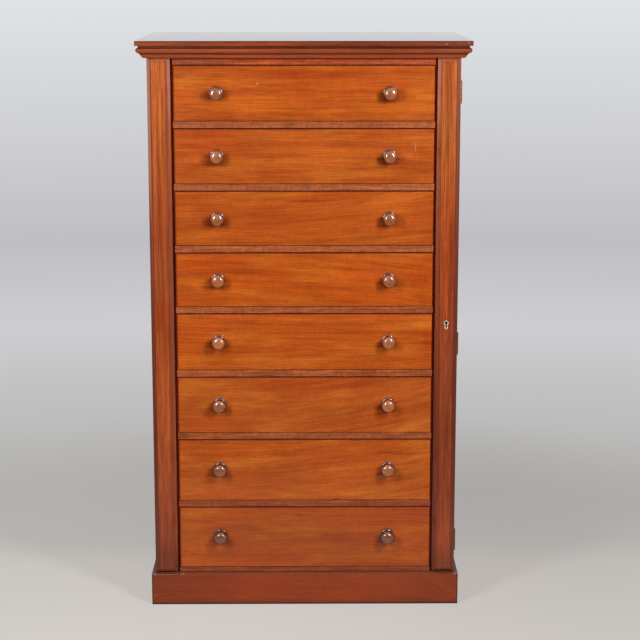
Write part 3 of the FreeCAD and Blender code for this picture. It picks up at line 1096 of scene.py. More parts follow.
FRONT_FIGURES = (
    FrontFigure(
        (0.31, 0.00, 0.0), (1.00, 1.02, 0.95), contrast=0.70, bow=0.0,
        patches=(
            Patch(0.20, 1.045, 0.11, 0.024, GOLD_TINT), Patch(0.24, 1.090, 0.04, 0.050, GOLD_TINT),
            Patch(-0.24, 1.090, 0.05, 0.030, WARM_TINT), Patch(0.02, 1.115, 0.11, 0.016, RED_TINT),
            Patch(-0.10, 1.055, 0.14, 0.013, WARM_TINT),
        ),
        marks=(Mark(-0.095, 1.1005, 0.0017, 0.0017, DUST),),
    ),
    FrontFigure(
        (1.87, 0.40, 0.3), (0.99, 1.04, 1.25), contrast=0.65, bow=0.0,
        patches=(
            Patch(-0.19, 0.985, 0.08, 0.024, RED_TINT), Patch(0.05, 0.955, 0.22, 0.030, WARM_TINT),
            Patch(0.16, 0.918, 0.11, 0.012, GOLD_TINT),
        ),
        marks=(Mark(0.2265, 0.973, 0.0009, 0.0115, SCRATCH),),
    ),
    FrontFigure(
        (3.42, 0.85, 0.1), (0.96, 0.98, 1.15), contrast=0.65, bow=0.15,
        patches=(
            Patch(0.17, 0.840, 0.10, 0.022, WARM_TINT), Patch(0.16, 0.785, 0.13, 0.014, GOLD_TINT),
            Patch(0.00, 0.862, 0.06, 0.005, DARK_TINT), Patch(-0.24, 0.840, 0.02, 0.040, WARM_TINT),
        ),
    ),
    FrontFigure(
        (5.13, 1.21, 0.6), (1.05, 1.02, 1.04), contrast=0.70, bow=-0.15,
        patches=(
            Patch(0.08, 0.735, 0.17, 0.014, GOLD_TINT), Patch(0.20, 0.718, 0.08, 0.014, WARM_TINT),
            Patch(0.24, 0.680, 0.03, 0.034, RED_TINT), Patch(-0.20, 0.735, 0.09, 0.016, RED_TINT),
        ),
    ),
    FrontFigure(
        (6.70, 1.66, 0.2), (1.085, 1.11, 1.40), contrast=0.65, bow=0.0,
        patches=(
            Patch(0.20, 0.600, 0.08, 0.012, GOLD_TINT), Patch(0.19, 0.543, 0.11, 0.020, WARM_TINT),
            Patch(0.256, 0.565, 0.014, 0.06, RED_TINT), Patch(-0.05, 0.605, 0.10, 0.014, RED_TINT),
        ),
    ),
    FrontFigure(
        (8.26, 2.05, 0.9), (1.02, 1.12, 1.95), contrast=0.45, bow=0.32,
        patches=(
            Patch(-0.02, 0.430, 0.20, 0.020, WARM_TINT), Patch(0.05, 0.475, 0.16, 0.014, RED_TINT),
        ),
    ),
    FrontFigure(
        (9.88, 2.47, 0.4), (1.09, 1.18, 1.50), contrast=0.50, bow=0.22,
        patches=(
            Patch(0.22, 0.320, 0.07, 0.040, WARM_TINT), Patch(0.194, 0.328, 0.050, 0.005, DARK_TINT),
            Patch(0.12, 0.245, 0.12, 0.014, WARM_TINT), Patch(-0.15, 0.330, 0.08, 0.016, RED_TINT),
        ),
        marks=(Mark(0.066, 0.2277, 0.0085, 0.0016, BRUISE), Mark(0.029, 0.239, 0.0014, 0.0014, BRUISE)),
    ),
    FrontFigure(
        (11.3, 2.93, 0.7), (0.96, 0.89, 0.75), contrast=0.35, bow=0.0,
        patches=(
            Patch(-0.24, 0.185, 0.03, 0.034, GOLD_TINT),
            Patch(0.00, 0.135, 0.17, 0.050, (0.93, 0.96, 1.05)),
            Patch(0.22, 0.160, 0.06, 0.034, (1.10, 1.02, 0.80)),
        ),
        marks=(Mark(-0.012, 0.193, 0.0075, 0.0010, BRUISE), Mark(0.012, 0.190, 0.0013, 0.0013, BRUISE)),
    ),
)


def knob_shadow_patches(number: int) -> tuple[Patch, ...]:
    """Painted shadow: dark red zones about a drawer's knobs, a little below them and to their left, for
    the shadows the knobs cast.

    Args:
        number: The drawer's number, from 1 at the top.

    Returns:
        One zone for each knob.
    """
    low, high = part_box(f"drawer_{number}_knobs")
    inset = (high.z - low.z) / 2
    height = (high.z + low.z) / 2 - KNOB_SHADOW_DROP
    places = (low.x + inset, high.x - inset)
    return tuple(Patch(x - KNOB_SHADOW_LEFT, height, KNOB_SHADOW_WIDTH, KNOB_SHADOW_HEIGHT, KNOB_SHADOW_TINT) for x in places)


def edge_shade_marks(low: Vector, high: Vector) -> tuple[Mark, ...]:
    """Painted shade along the edges of a drawer front, for the shadows in the gaps about it.

    Args:
        low: The front's lowest corner.
        high: Its highest corner.

    Returns:
        One mark for each edge.
    """
    return (
        Mark(0.0, high.z, WHOLE, TOP_EDGE, GAP_SHADE),
        Mark(0.0, low.z, WHOLE, FOOT_EDGE, GAP_SHADE),
        Mark(low.x, 0.0, LEFT_EDGE, WHOLE, END_SHADE),
        Mark(high.x, 0.0, RIGHT_EDGE, WHOLE, END_SHADE),
    )


def front_timber(number: int) -> Timber:
    """Timber of one drawer front, cut from a place of its own.

    Args:
        number: The drawer's number, from 1 at the top.

    Returns:
        The timber.
    """
    figure = FRONT_FIGURES[number - 1]
    return Timber(
        name=f"mahogany_drawer_front_{number}",
        light=tinted(PALE_MAHOGANY, figure.tint),
        dark=tinted(DEEP_MAHOGANY, figure.tint),
        glow=tinted(GOLD_MAHOGANY, figure.tint),
        grain=Grain.ALONG_X,
        shift=figure.shift,
        bow=figure.bow,
        bow_start=FRONT_BOW_START,
        fleck=0.075,
        fibre=0.12,
        contrast=figure.contrast,
        patches=knob_shadow_patches(number) + figure.patches,
        marks=edge_shade_marks(*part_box(f"drawer_{number}_front")) + figure.marks,
    )


# Rails

# Painted light and shade on the rails: the frieze rail at the top keeps paler colours than the lower
# rails, partly its own more orange tone and partly painted light against the cornice's shadow, while the
# fade tints the lower rails; the first mark is painted shadow under the cornice, the second painted shade
# at the foot of the bottom rail
RAIL_TIMBER = Timber(
    "mahogany_rails", paint(200, 90, 23), paint(158, 56, 10), paint(184, 73, 16), Grain.ALONG_X,
    streak_width=0.005, streak_length=0.10, fleck=0.22, fibre=0.26, coat=0.2, rough=0.40, corner_shade_and_dust=0.20,
    fade=Fade(1.135, 1.100, (0.90, 1.355, 4.1)),
    patches=(
        Patch(0.0, 0.145, WHOLE, 0.16, (0.88, 0.74, 0.79)),
        Patch(0.0, 0.072, WHOLE, 0.012, (0.82, 1.0, 0.95)),
        Patch(-0.26, 1.145, 0.10, 0.03, (0.72, 0.78, 0.80)),
        Patch(-0.26, 0.072, 0.06, 0.02, (0.95, 0.72, 0.85)),
    ),
    marks=(Mark(0.0, 1.1498, WHOLE, 0.0016, GAP_SHADE), Mark(0.0, 0.0668, WHOLE, 0.0013, GAP_SHADE)),
)

# Pilaster and stile: places across the right one, which are negative on the left one, and heights

PILASTER_X = 0.2935
INNER_QUIRK_X = 0.27765
OUTER_QUIRK_X = 0.30935
INNER_SPLAY_X = 0.2735
OUTER_SPLAY_X = 0.3140
QUIRK_HALF = 0.0011
QUIRK_MIDDLE = 0.6
BORDER_TOP = 1.1485
DARK_FOOT = 0.0668
SHADED_FOOT = 0.072


def border_marks(side: float, *splays: Mark) -> tuple[Mark, ...]:
    """Painted shade and painted reflections on a pilaster's border.

    Args:
        side: -1 on the left of the chest, 1 on the right.
        splays: Shades and sheens of its own splays.

    Returns:
        Painted shade in the quirks and at the foot, the splays' own marks, and a painted reflection along
        the top.
    """
    return (
        Mark(side * INNER_QUIRK_X, QUIRK_MIDDLE, QUIRK_HALF, WHOLE, INNER_QUIRK_SHADE),
        Mark(side * OUTER_QUIRK_X, QUIRK_MIDDLE, QUIRK_HALF, WHOLE, QUIRK_SHADE),
        *splays,
        Mark(0.0, BORDER_TOP, WHOLE, 0.0026, SPLAY_REFLECTION),
        Mark(side * PILASTER_X, DARK_FOOT, 0.030, 0.0024, SHADE_AND_SOILED_ARRIS),
    )


PILASTER_TIMBER = Timber(
    "mahogany_pilaster", paint(222, 116, 44), paint(156, 64, 24), paint(216, 108, 40), Grain.ALONG_Z,
    streak_width=0.006, streak_length=0.32, wander=0.002, contrast=0.9, fibre=0.20, coat=0.5,
    coat_rough=0.08, coat_ior=1.6, corner_shade_and_dust=0.30, fade=Fade(1.023, 0.743, (0.68, 0.50, 0.62)),
    patches=(
        Patch(-PILASTER_X, 0.40, 0.06, 0.22, (1.38, 1.78, 2.35)),
        Patch(-PILASTER_X, 0.715, 0.06, 0.075, (1.12, 1.45, 1.9)),
        Patch(-PILASTER_X, SHADED_FOOT, WHOLE, 0.085, (0.62, 0.62, 0.54)),
    ),
    marks=border_marks(
        -1.0,
        Mark(-OUTER_SPLAY_X, 0.35, 0.0042, 0.70, SPLAY_SHADE),
        Mark(-OUTER_SPLAY_X, 1.05, 0.0036, 0.24, SPLAY_REFLECTION),
        Mark(-INNER_SPLAY_X, 0.62, 0.0034, 0.48, SPLAY_SHEEN),
        Mark(-INNER_SPLAY_X, 1.11, 0.0034, 0.10, SPLAY_REFLECTION),
    ),
)
STILE_TIMBER = replace(
    PILASTER_TIMBER, name="mahogany_locking_stile", shift=(0.7, 1.9, 0.4),
    patches=(
        Patch(PILASTER_X, 0.47, 0.06, 0.26, (0.80, 0.98, 1.75)),
        Patch(PILASTER_X, 1.00, 0.06, 0.07, (0.85, 0.92, 1.1)),
        Patch(PILASTER_X, SHADED_FOOT, WHOLE, 0.065, (0.66, 0.70, 0.60)),
    ),
    marks=border_marks(
        1.0,
        Mark(OUTER_SPLAY_X, 0.5, 0.0042, 0.90, SPLAY_SHADE),
        Mark(0.2730, 0.28, 0.0042, 0.38, SPLAY_SHADE),
        Mark(INNER_SPLAY_X, 0.85, 0.0034, 0.24, SPLAY_SHEEN),
        Mark(INNER_SPLAY_X, 1.11, 0.0034, 0.10, SPLAY_REFLECTION),
    ),
)

# Cornice and top board, with the heights of the cornice's members

CAVETTO_Z = 1.1553
CAVETTO_LINE_Z = 1.1606
TORUS_Z = 1.1655
RECESS_LINE_Z = 1.1724
# Painted light and shade on the cornice: the patches make the downward-looking cavetto and the torus under
# the top board paler, and the marks are painted shade in the recess under the top board and under the
# torus
CORNICE_TIMBER = Timber(
    "mahogany_cornice", paint(178, 86, 42), paint(126, 52, 22), paint(156, 70, 32), Grain.ALONG_X,
    streak_width=0.008, coat=0.25, corner_shade_and_dust=0.78,
    patches=(
        Patch(0.0, CAVETTO_Z, WHOLE, 0.0042, (1.50, 1.05, 0.3)),
        Patch(0.0, TORUS_Z, WHOLE, 0.0026, (1.12, 1.15, 1.2)),
    ),
    marks=(
        Mark(0.0, RECESS_LINE_Z, WHOLE, 0.0017, SHADE_AND_SOILED_ARRIS),
        Mark(0.0, CAVETTO_LINE_Z, WHOLE, 0.0021, GAP_SHADE),
    ),
)
RETURN_TIMBER = replace(CORNICE_TIMBER, name="mahogany_cornice_returns", grain=Grain.ALONG_Y)
TOP_TIMBER = Timber(
    "mahogany_top", paint(178, 84, 40), paint(126, 48, 20), paint(150, 62, 26), Grain.ALONG_X,
    shift=(0.4, 3.1, 0.0), streak_width=0.022, coat=0.9, coat_rough=0.08, rough=0.26,
    marks=(
        Mark(0.0, 1.1852, WHOLE, 0.0011, SHADE_AND_SOILED_ARRIS), Mark(0.2847, 1.1805, 0.0035, 0.0007, DUST),
        Mark(0.3090, 1.1838, 0.0006, 0.0016, DUST), Mark(0.3290, 1.1834, 0.0018, 0.0008, DUST),
    ),
)

# Plinth, with the height of its ledge and places on the ledge

LEDGE_Z = 0.0660
LEDGE_BACK_Y = -0.2058
PLINTH_END_X = 0.3250
# Painted shade on the plinth: the second patch and the first dark mark along its foot, the dark marks on
# the ledge behind the pilasters' feet, and the dark lines at its two ends
PLINTH_TIMBER = Timber(
    "mahogany_plinth", paint(176, 75, 30), paint(128, 48, 16), paint(160, 61, 22), Grain.ALONG_X,
    shift=(2.3, 0.7, 0.5), streak_width=0.012, wander=0.016, bow=-7.0, bow_start=0.245,
    contrast=0.35, fibre=0.09, coat=0.15,
    patches=(
        Patch(0.0, 0.036, 0.28, 0.08, (1.30, 1.18, 0.85)),
        Patch(0.0, 0.0, WHOLE, 0.012, (0.70, 0.82, 0.95)),
    ),
    marks=(
        Mark(0.0, 0.0, WHOLE, 0.0042, SHADE_AND_SOILED_ARRIS),
        Mark(-0.3179, 0.0199, 0.0016, 0.0014, DUST),
        Mark(0.0, LEDGE_Z, WHOLE, 0.0004, LEDGE_DUST),
        Mark(-0.2940, -0.2101, 0.034, 0.0017, LEDGE_BLOOM, Axis.Y),
        Mark(-PILASTER_X, LEDGE_BACK_Y, 0.027, 0.0022, SHADE_AND_SOILED_ARRIS, Axis.Y),
        Mark(-0.2600, -0.2085, 0.0055, 0.0030, DUST, Axis.Y),
        Mark(PILASTER_X, LEDGE_BACK_Y, 0.027, 0.0022, SHADE_AND_SOILED_ARRIS, Axis.Y),
        Mark(-PLINTH_END_X, 0.033, 0.0034, WHOLE, SHADE_AND_SOILED_ARRIS),
        Mark(PLINTH_END_X, 0.033, 0.0034, WHOLE, SHADE_AND_SOILED_ARRIS),
    ),
)
PLINTH_SIDE_TIMBER = Timber(
    "mahogany_plinth_sides", PLINTH_TIMBER.light, PLINTH_TIMBER.dark, PLINTH_TIMBER.glow, Grain.ALONG_Y,
    shift=(0.9, 1.7, 0.5), streak_width=0.012, coat=0.0, rough=0.55,
    marks=(Mark(0.0, LEDGE_Z, WHOLE, 0.0004, SIDE_LEDGE_SHADE),),
)

# Sides and front posts

SIDE_TIMBER = Timber(
    "mahogany_sides", paint(192, 88, 30), paint(140, 54, 16), paint(172, 72, 24), Grain.ALONG_Z,
    shift=(0.6, 2.2, 1.3), streak_width=0.024, streak_length=0.9, wander=0.020, coat=0.5,
)
# The posts' stained red is brighter than the mahogany: partly their stain, partly painted light that lifts
# the shaded grooves beside the drawers
POST_TIMBER = Timber(
    "stained_posts_with_painted_light", paint(236, 92, 34), paint(204, 68, 20), paint(220, 80, 26), Grain.ALONG_Z,
    streak_width=0.010, coat=0.0, rough=0.60, corner_shade_and_dust=0.0,
    fade=Fade(0.2706, 0.2722, (0.62, 0.72, 0.78), Axis.X),
)

# Knobs, with the tones of the left and right knob of each drawer

KNOB_LIGHT = paint(202, 126, 80)
KNOB_DARK = paint(148, 77, 44)
KNOB_GLOW = paint(184, 107, 58)
KNOB_X = 0.176
KNOB_STEP = (0.0, 0.37, 0.21)
KNOB_TONES = (
    (0.88, 1.00), (1.05, 0.82), (0.96, 0.84), (1.05, 0.92),
    (1.40, 1.15), (0.95, 1.25), (0.75, 1.10), (0.58, 0.60),
)


def knob_timber(number: int) -> Timber:
    """Timber of one drawer's knobs, with painted shade on the collar behind the head.

    Args:
        number: The drawer's number, from 1 at the top.

    Returns:
        The timber.
    """
    tone, right_tone = KNOB_TONES[number - 1]
    right = right_tone / tone
    return Timber(
        name=f"mahogany_knobs_{number}",
        light=toned(KNOB_LIGHT, tone),
        dark=toned(KNOB_DARK, tone),
        glow=toned(KNOB_GLOW, tone),
        grain=Grain.ALONG_Y,
        shift=tuple(step * number for step in KNOB_STEP),
        streak_width=0.004, streak_length=0.05, wander=0.002, corner_shade_and_dust=0.55, corner_shade_reach=0.012,
        coat=1.0, coat_rough=0.10, coat_ior=1.9, rough=0.30, relief=0.000005,
        fade=Fade(-0.2090, -0.2040, (0.45, 0.34, 0.31), Axis.Y),
        patches=(Patch(KNOB_X, 0.6, 0.15, WHOLE, (right, right, right)),),
    )


# Bare timbers inside the chest

LINING_TIMBER = Timber(
    "oak_linings", paint(196, 158, 110), paint(158, 118, 76), paint(180, 136, 88), Grain.ALONG_Y,
    streak_width=0.009, pores=0.6, coat=0.0, rough=0.62, relief=0.0002,
)
PANEL_TIMBER = replace(
    LINING_TIMBER, name="oak_drawer_bottoms", grain=Grain.ALONG_X, streak_width=0.016
)
INNER_TIMBER = Timber(
    "pine_inner_frame", paint(200, 160, 108), paint(164, 118, 70), paint(186, 138, 86), Grain.ALONG_Y,
    streak_width=0.012, pores=0.10, coat=0.0, rough=0.66, relief=0.0002,
)
BLOCK_TIMBER = replace(INNER_TIMBER, name="pine_blocks", grain=Grain.ALONG_Z, streak_width=0.010)
CROSS_TIMBER = replace(INNER_TIMBER, name="pine_boards", grain=Grain.ALONG_X, streak_width=0.014)
BACK_TIMBER = Timber(
    "pine_back_boards", paint(168, 122, 76), paint(112, 72, 42), paint(140, 92, 52), Grain.ALONG_Z,
    streak_width=0.016, streak_length=0.8, wander=0.022, pores=0.15, coat=0.0, rough=0.70, relief=0.0003,
)

# Metals

HINGE_BRASS = Metal("aged_hinge_brass", paint(168, 122, 88), paint(118, 78, 54), rough=0.42, age=0.6)
RIM_BRASS = Metal(
    "rubbed_rim_brass", paint(255, 248, 232), paint(234, 218, 188), rough=0.62, age=0.25, patch=0.004
)
LOCK_BRASS = Metal("lock_brass", paint(190, 152, 86), paint(120, 90, 48), rough=0.30, age=0.5)
DULL_STEEL = Metal("dull_steel", paint(150, 146, 140), paint(84, 76, 68), rough=0.36, age=0.5)
NAIL_IRON = Metal("dark_nail_iron", paint(96, 88, 80), paint(58, 42, 32), rough=0.50, age=0.7)


@dataclass(frozen=True)
class Screw:
    """A countersunk screw with a slot right across its head.

    Attributes:
        radius: Radius of the head.
        proud: How far it stands out of its plate.
        sunk: How deep it goes in, as a share of the radius.
        slot_half: Half the slot's width, as a share of the radius.
        slot_depth: Depth of the slot, as a share of the radius.
        rim_steps: Steps round each half of the rim.
    """

    radius: float
    proud: float
    sunk: float = 0.45
    slot_half: float = 0.14
    slot_depth: float = 0.30
    rim_steps: int = 9

    def head(self, facing: Facing) -> bpy.types.Mesh:
        """Make the head.

        Args:
            facing: Which way it looks.

        Returns:
            The closed mesh, with the plate's surface at the origin.
        """
        half = self.radius * self.slot_half
        top_y = facing.value * self.proud
        foot_y = -facing.value * self.radius * self.sunk
        slot_y = facing.value * (self.proud - self.radius * self.slot_depth)
        edge = math.acos(half / self.radius)
        turns = [edge * (2 * step / self.rim_steps - 1) for step in range(self.rim_steps + 1)]
        form = bmesh.new()
        for side in (1.0, -1.0):
            rim = [(side * self.radius * math.cos(turn), self.radius * math.sin(turn)) for turn in turns]
            top = [form.verts.new((x, top_y, z)) for x, z in rim]
            foot = [form.verts.new((x, foot_y, z)) for x, z in rim]
            form.faces.new(top)
            form.faces.new(foot)
            for step in range(self.rim_steps + 1):
                form.faces.new([top[step - 1], top[step], foot[step], foot[step - 1]])
        reach = self.radius * math.sin(edge)
        corners = [(x, y, z) for x in (-half, half) for y in (slot_y, foot_y) for z in (-reach, reach)]
        web = [form.verts.new(corner) for corner in corners]
        for face in ((0, 1, 5, 4), (2, 3, 7, 6), (0, 1, 3, 2), (4, 5, 7, 6), (0, 2, 6, 4), (1, 3, 7, 5)):
            form.faces.new([web[corner] for corner in face])
        bmesh.ops.recalc_face_normals(form, faces=form.faces)
        return mesh_of("screw_head", form)

    def drive(self, name: str, facing: Facing, layout: RowLayout, seed: int, body: str, slot: str) -> None:
        """Drive equal screws in, each turned by chance.

        Args:
            name: Name of the new piece.
            facing: Which way the heads look.
            layout: Places of the screws.
            seed: Fixes how they are turned.
            body: Name of the body they ride on.
            slot: The record's material slot.
        """
        screws = row_tree().lay(name, self.head(facing), layout, DULL_STEEL, HALF_TURN, seed)
        seat(screws, body, slot)


@dataclass
class Carcase:
    """Boards that make the standing body of the chest.

    Attributes:
        timbers: Boards that keep their solids, and the timber of each.
        boards: Boards in the back.
        nail_radius: Radius of the nails in the back.
        nail_inset: From a board's end to its nails.
        nail_profile: Radius and height of a nail head's rings, as shares of its radius.
        nail_sides: Sides of a nail's head.
        nail_seed: Fixes how the nails are turned.
    """

    timbers: dict[str, Timber] = field(default_factory=lambda: {
        "plinth_back": CROSS_TIMBER,
        "plinth_blocks": BLOCK_TIMBER,
        "bottom_board": CROSS_TIMBER,
        "carcase_top": CROSS_TIMBER,
        "front_posts": POST_TIMBER,
        "drawer_runners": INNER_TIMBER,
        "drawer_guides": INNER_TIMBER,
        "drawer_stops": CROSS_TIMBER,
        "back_boards": BACK_TIMBER,
        "left_side": SIDE_TIMBER,
        "right_side": SIDE_TIMBER,
        "drawer_rails": RAIL_TIMBER,
        "frieze_rail": RAIL_TIMBER,
    })
    boards: int = 5
    nail_radius: float = 0.0026
    nail_inset: float = 0.022
    nail_profile: tuple[Ring, ...] = ((0.0, -0.3), (1.0, -0.3), (1.0, 0.0), (0.7, 0.2), (0.0, 0.26))
    nail_sides: int = 10
    nail_seed: int = 3

    def build(self) -> None:
        """Give every board its timber and nail the back."""
        for node, timber in self.timbers.items():
            dress_node(node, timber)
        smooth_copy("plinth_front", PLINTH_TIMBER, "plinth_wood")
        smooth_copy("plinth_sides", PLINTH_SIDE_TIMBER, "plinth_wood")
        self.nail_back()

    def nail_back(self) -> None:
        """Drive nails through both ends of the back boards."""
        low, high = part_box("back_boards")
        pitch = (high.x - low.x) / self.boards
        radius = self.nail_radius
        dome = [(share * radius, height * radius) for share, height in self.nail_profile]
        shape = turned("nail_head", dome, self.nail_sides, Facing.BACK)
        layout = RowLayout(
            start=(low.x + pitch / 4, high.y, low.z + self.nail_inset),
            step=(pitch / 2, 0.0, 0.0),
            count=self.boards * 2,
            row_step=(0.0, 0.0, high.z - low.z - 2 * self.nail_inset),
            rows=2,
        )
        nails = row_tree().lay("back_nails", shape, layout, NAIL_IRON, FULL_TURN, self.nail_seed)
        seat(nails, "carcase", "hinge_steel")


@dataclass
class Cornice:
    """Top board and the moulding under it."""

    def build(self) -> None:
        """Smooth the mouldings and give them their timber."""
        smooth_copy("top_board", TOP_TIMBER, "top_wood")
        smooth_copy("cornice_front", CORNICE_TIMBER, "cornice_wood")
        smooth_copy("cornice_returns", RETURN_TIMBER, "cornice_wood")


@dataclass
class Pilasters:
    """Fixed pilaster on the left and locking stile on the right."""

    def build(self) -> None:
        """Smooth their borders and give them their timber."""
        smooth_copy("left_pilaster", PILASTER_TIMBER, "pilaster_wood")
        smooth_copy("locking_stile", STILE_TIMBER, "pilaster_wood")


@dataclass
class Hinges:
    """Three butt hinges of the stile.

    Attributes:
        screw: The screws of the leaves.
        screw_line: Where they stand across a leaf, as a share of its width.
        screw_inset: From a leaf's end to its screws, as a share of its length.
        screws: Screws in one leaf.
    """

    screw: Screw = Screw(radius=0.0026, proud=0.00008)
    screw_line: float = 0.34
    screw_inset: float = 0.16
    screws: int = 3

    def build(self) -> None:
        """Give leaves and pins their metal and screw the leaves down."""
        smooth_copy("hinge_carcase_leaves", HINGE_BRASS, "hinge_brass")
        smooth_copy("hinge_stile_leaves", HINGE_BRASS, "hinge_brass")
        smooth_copy("hinge_pins", DULL_STEEL, "hinge_steel")
        self.screw_down("hinge_carcase_leaves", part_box("left_pilaster")[1].y, Facing.FRONT)
        self.screw_down("hinge_stile_leaves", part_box("locking_stile")[1].y, Facing.BACK)

    def screw_down(self, node: str, y: float, facing: Facing) -> None:
        """Screw the leaves of one node down.

        Args:
            node: Name of the node.
            y: Where the faces of the leaves lie.
            facing: Which way the screws look.
        """
        for number, (low, high) in enumerate(loose_boxes(node), start=1):
            x = low.x + (high.x - low.x) * self.screw_line
            inset = (high.z - low.z) * self.screw_inset
            step = (high.z - low.z - 2 * inset) / (self.screws - 1)
            layout = RowLayout((x, y, low.z + inset), (0.0, 0.0, step), self.screws)
            name = f"{node}_screws_{number}"
            self.screw.drive(name, facing, layout, number, body_of(node), "hinge_steel")


@dataclass
class Lock:
    """Lock in the stile, its bolt, the link plate on the post and the keyhole's rim.

    Attributes:
        screw: The screws of the case and the plate.
        screw_inset: From an edge to a screw, as a share of the screw's radius.
        case_seed: Fixes how the screws of the case are turned.
        plate_seed: Fixes how the screws of the plate are turned.
    """

    screw: Screw = Screw(radius=0.0022, proud=0.00008)
    screw_inset: float = 1.7
    case_seed: int = 7
    plate_seed: int = 9

    def build(self) -> None:
        """Give the lock its metals and screw it down."""
        dress_node("lock_case", LOCK_BRASS)
        dress_node("lock_bolt", DULL_STEEL)
        dress_node("link_plate", DULL_STEEL)
        smooth_copy("keyhole_escutcheon", RIM_BRASS, "escutcheon_brass")
        self.screw_down()

    def screw_down(self) -> None:
        """Screw the lock case and the link plate down."""
        inset = self.screw.radius * self.screw_inset
        low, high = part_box("lock_case")
        layout = RowLayout(
            start=(low.x + inset, high.y, low.z + inset),
            step=(0.0, 0.0, high.z - low.z - 2 * inset),
            count=2,
            row_step=(high.x - low.x - 2 * inset, 0.0, 0.0),
            rows=2,
        )
        self.screw.drive(
            "lock_case_screws", Facing.BACK, layout, self.case_seed, "locking_stile", "lock_steel"
        )
        low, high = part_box("link_plate")
        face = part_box("left_pilaster")[1].y
        step = (0.0, 0.0, high.z - low.z - 2 * inset)
        layout = RowLayout((low.x + inset, face, low.z + inset), step, 2)
        self.screw.drive(
            "link_plate_screws", Facing.FRONT, layout, self.plate_seed, "carcase", "lock_steel"
        )


@dataclass
class Drawer:
    """One drawer: front, dovetailed box, bottom panel and two turned knobs.

    Attributes:
        number: Its number, from 1 at the top.
        knob_sides: Sides of a turned knob.
        knob_steps: Rings in a quarter of each curve.
        collar_height: Thickness of a knob's collar, as a share of the knob's projection.
        collar_round: Half the width of the collar's bead, as a share of the knob's radius.
        cove_rise: How steeply the collar runs into the neck.
        neck_share: Radius of its neck, as a share of the knob's radius.
        neck_end: Where the neck runs into the head, as a share of the projection.
        head_share: Radius of its head, as a share of the knob's radius.
        head_middle: Where the head is widest, as a share of the projection.
        head_flatness: How flat the head's front is; 2 is an ellipse.
        screw: The screws that hold the knobs.
        screw_seed: Fixes, with the number, how the screws are turned.
    """

    number: int
    knob_sides: int = 48
    knob_steps: int = 8
    collar_height: float = 0.16
    collar_round: float = 0.20
    cove_rise: float = 0.5
    neck_share: float = 0.44
    neck_end: float = 0.44
    head_share: float = 0.86
    head_middle: float = 0.74
    head_flatness: float = 2.6
    screw: Screw = Screw(radius=0.0034, proud=0.00068)
    screw_seed: int = 20

    @property
    def body(self) -> str:
        """Name of the drawer's body."""
        return f"drawer_{self.number}"

    def build(self) -> None:
        """Give front, box and bottom their timber and fit the knobs."""
        dress_node(self.body + "_front", front_timber(self.number))
        dress_node(self.body + "_box", LINING_TIMBER)
        dress_node(self.body + "_bottom", PANEL_TIMBER)
        self.fit_knobs()

    def knob_profile(self, radius: float, projection: float) -> list[Ring]:
        """Outline of a knob from its foot to the top of its head.

        Args:
            radius: Radius of its collar.
            projection: How far it stands out of the drawer front.

        Returns:
            Radius and height of each ring.
        """
        turns = [math.pi / 2 * step / self.knob_steps for step in range(self.knob_steps + 1)]
        points = [(0.0, 0.0)]
        for step in range(2 * self.knob_steps - 2):
            turn = math.pi * step / (2 * self.knob_steps)
            bead = 1.0 - self.collar_round * (1.0 - math.cos(turn))
            points.append((bead, self.collar_height * math.sin(turn)))
        cove, cove_foot = points[-1]
        cove -= self.neck_share
        for turn in turns[1:]:
            width = self.neck_share + cove * (1.0 - math.sin(turn))
            points.append((width, cove_foot + cove * self.cove_rise * turn))
        for turn in turns:
            width = self.neck_share + (self.head_share - self.neck_share) * math.sin(turn)
            height = self.neck_end + (self.head_middle - self.neck_end) * (1.0 - math.cos(turn))
            points.append((width, height))
        power = 2.0 / self.head_flatness
        for turn in turns[1:-1]:
            height = self.head_middle + (1.0 - self.head_middle) * math.sin(turn) ** power
            points.append((self.head_share * math.cos(turn) ** power, height))
        points.append((0.0, 1.0))
        return [(share * radius, height * projection) for share, height in points]

    def fit_knobs(self) -> None:
        """Turn two knobs, set them on the front and screw them on from inside."""
        node = self.body + "_knobs"
        low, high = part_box(node)
        one_low, one_high = loose_boxes(node)[0]
        radius = (one_high.x - one_low.x) / 2
        middle = (high.z + low.z) / 2
        step = (high.x - low.x - 2 * radius, 0.0, 0.0)
        profile = self.knob_profile(radius, high.y - low.y)
        shape = turned("turned_knob", profile, self.knob_sides, Facing.FRONT)
        layout = RowLayout((low.x + radius, high.y, middle), step, 2)
        timber = knob_timber(self.number)
        knobs = row_tree().lay(node + "_turned", shape, layout, timber, FULL_TURN, self.number)
        seat(knobs, self.body, "knob_wood", node)
        inner_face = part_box(self.body + "_front")[1].y
        layout = RowLayout((low.x + radius, inner_face, middle), step, 2)
        seed = self.number + self.screw_seed
        self.screw.drive(self.body + "_knob_screws", Facing.BACK, layout, seed, self.body, "hinge_steel")


@dataclass(frozen=True)
class Lamp:
    """A soft rectangular lamp.

    Attributes:
        name: Its name.
        place: Where it stands.
        width: Its width.
        height: Its height.
        power: Its power in watts.
    """

    name: str
    place: Point
    width: float
    height: float
    power: float


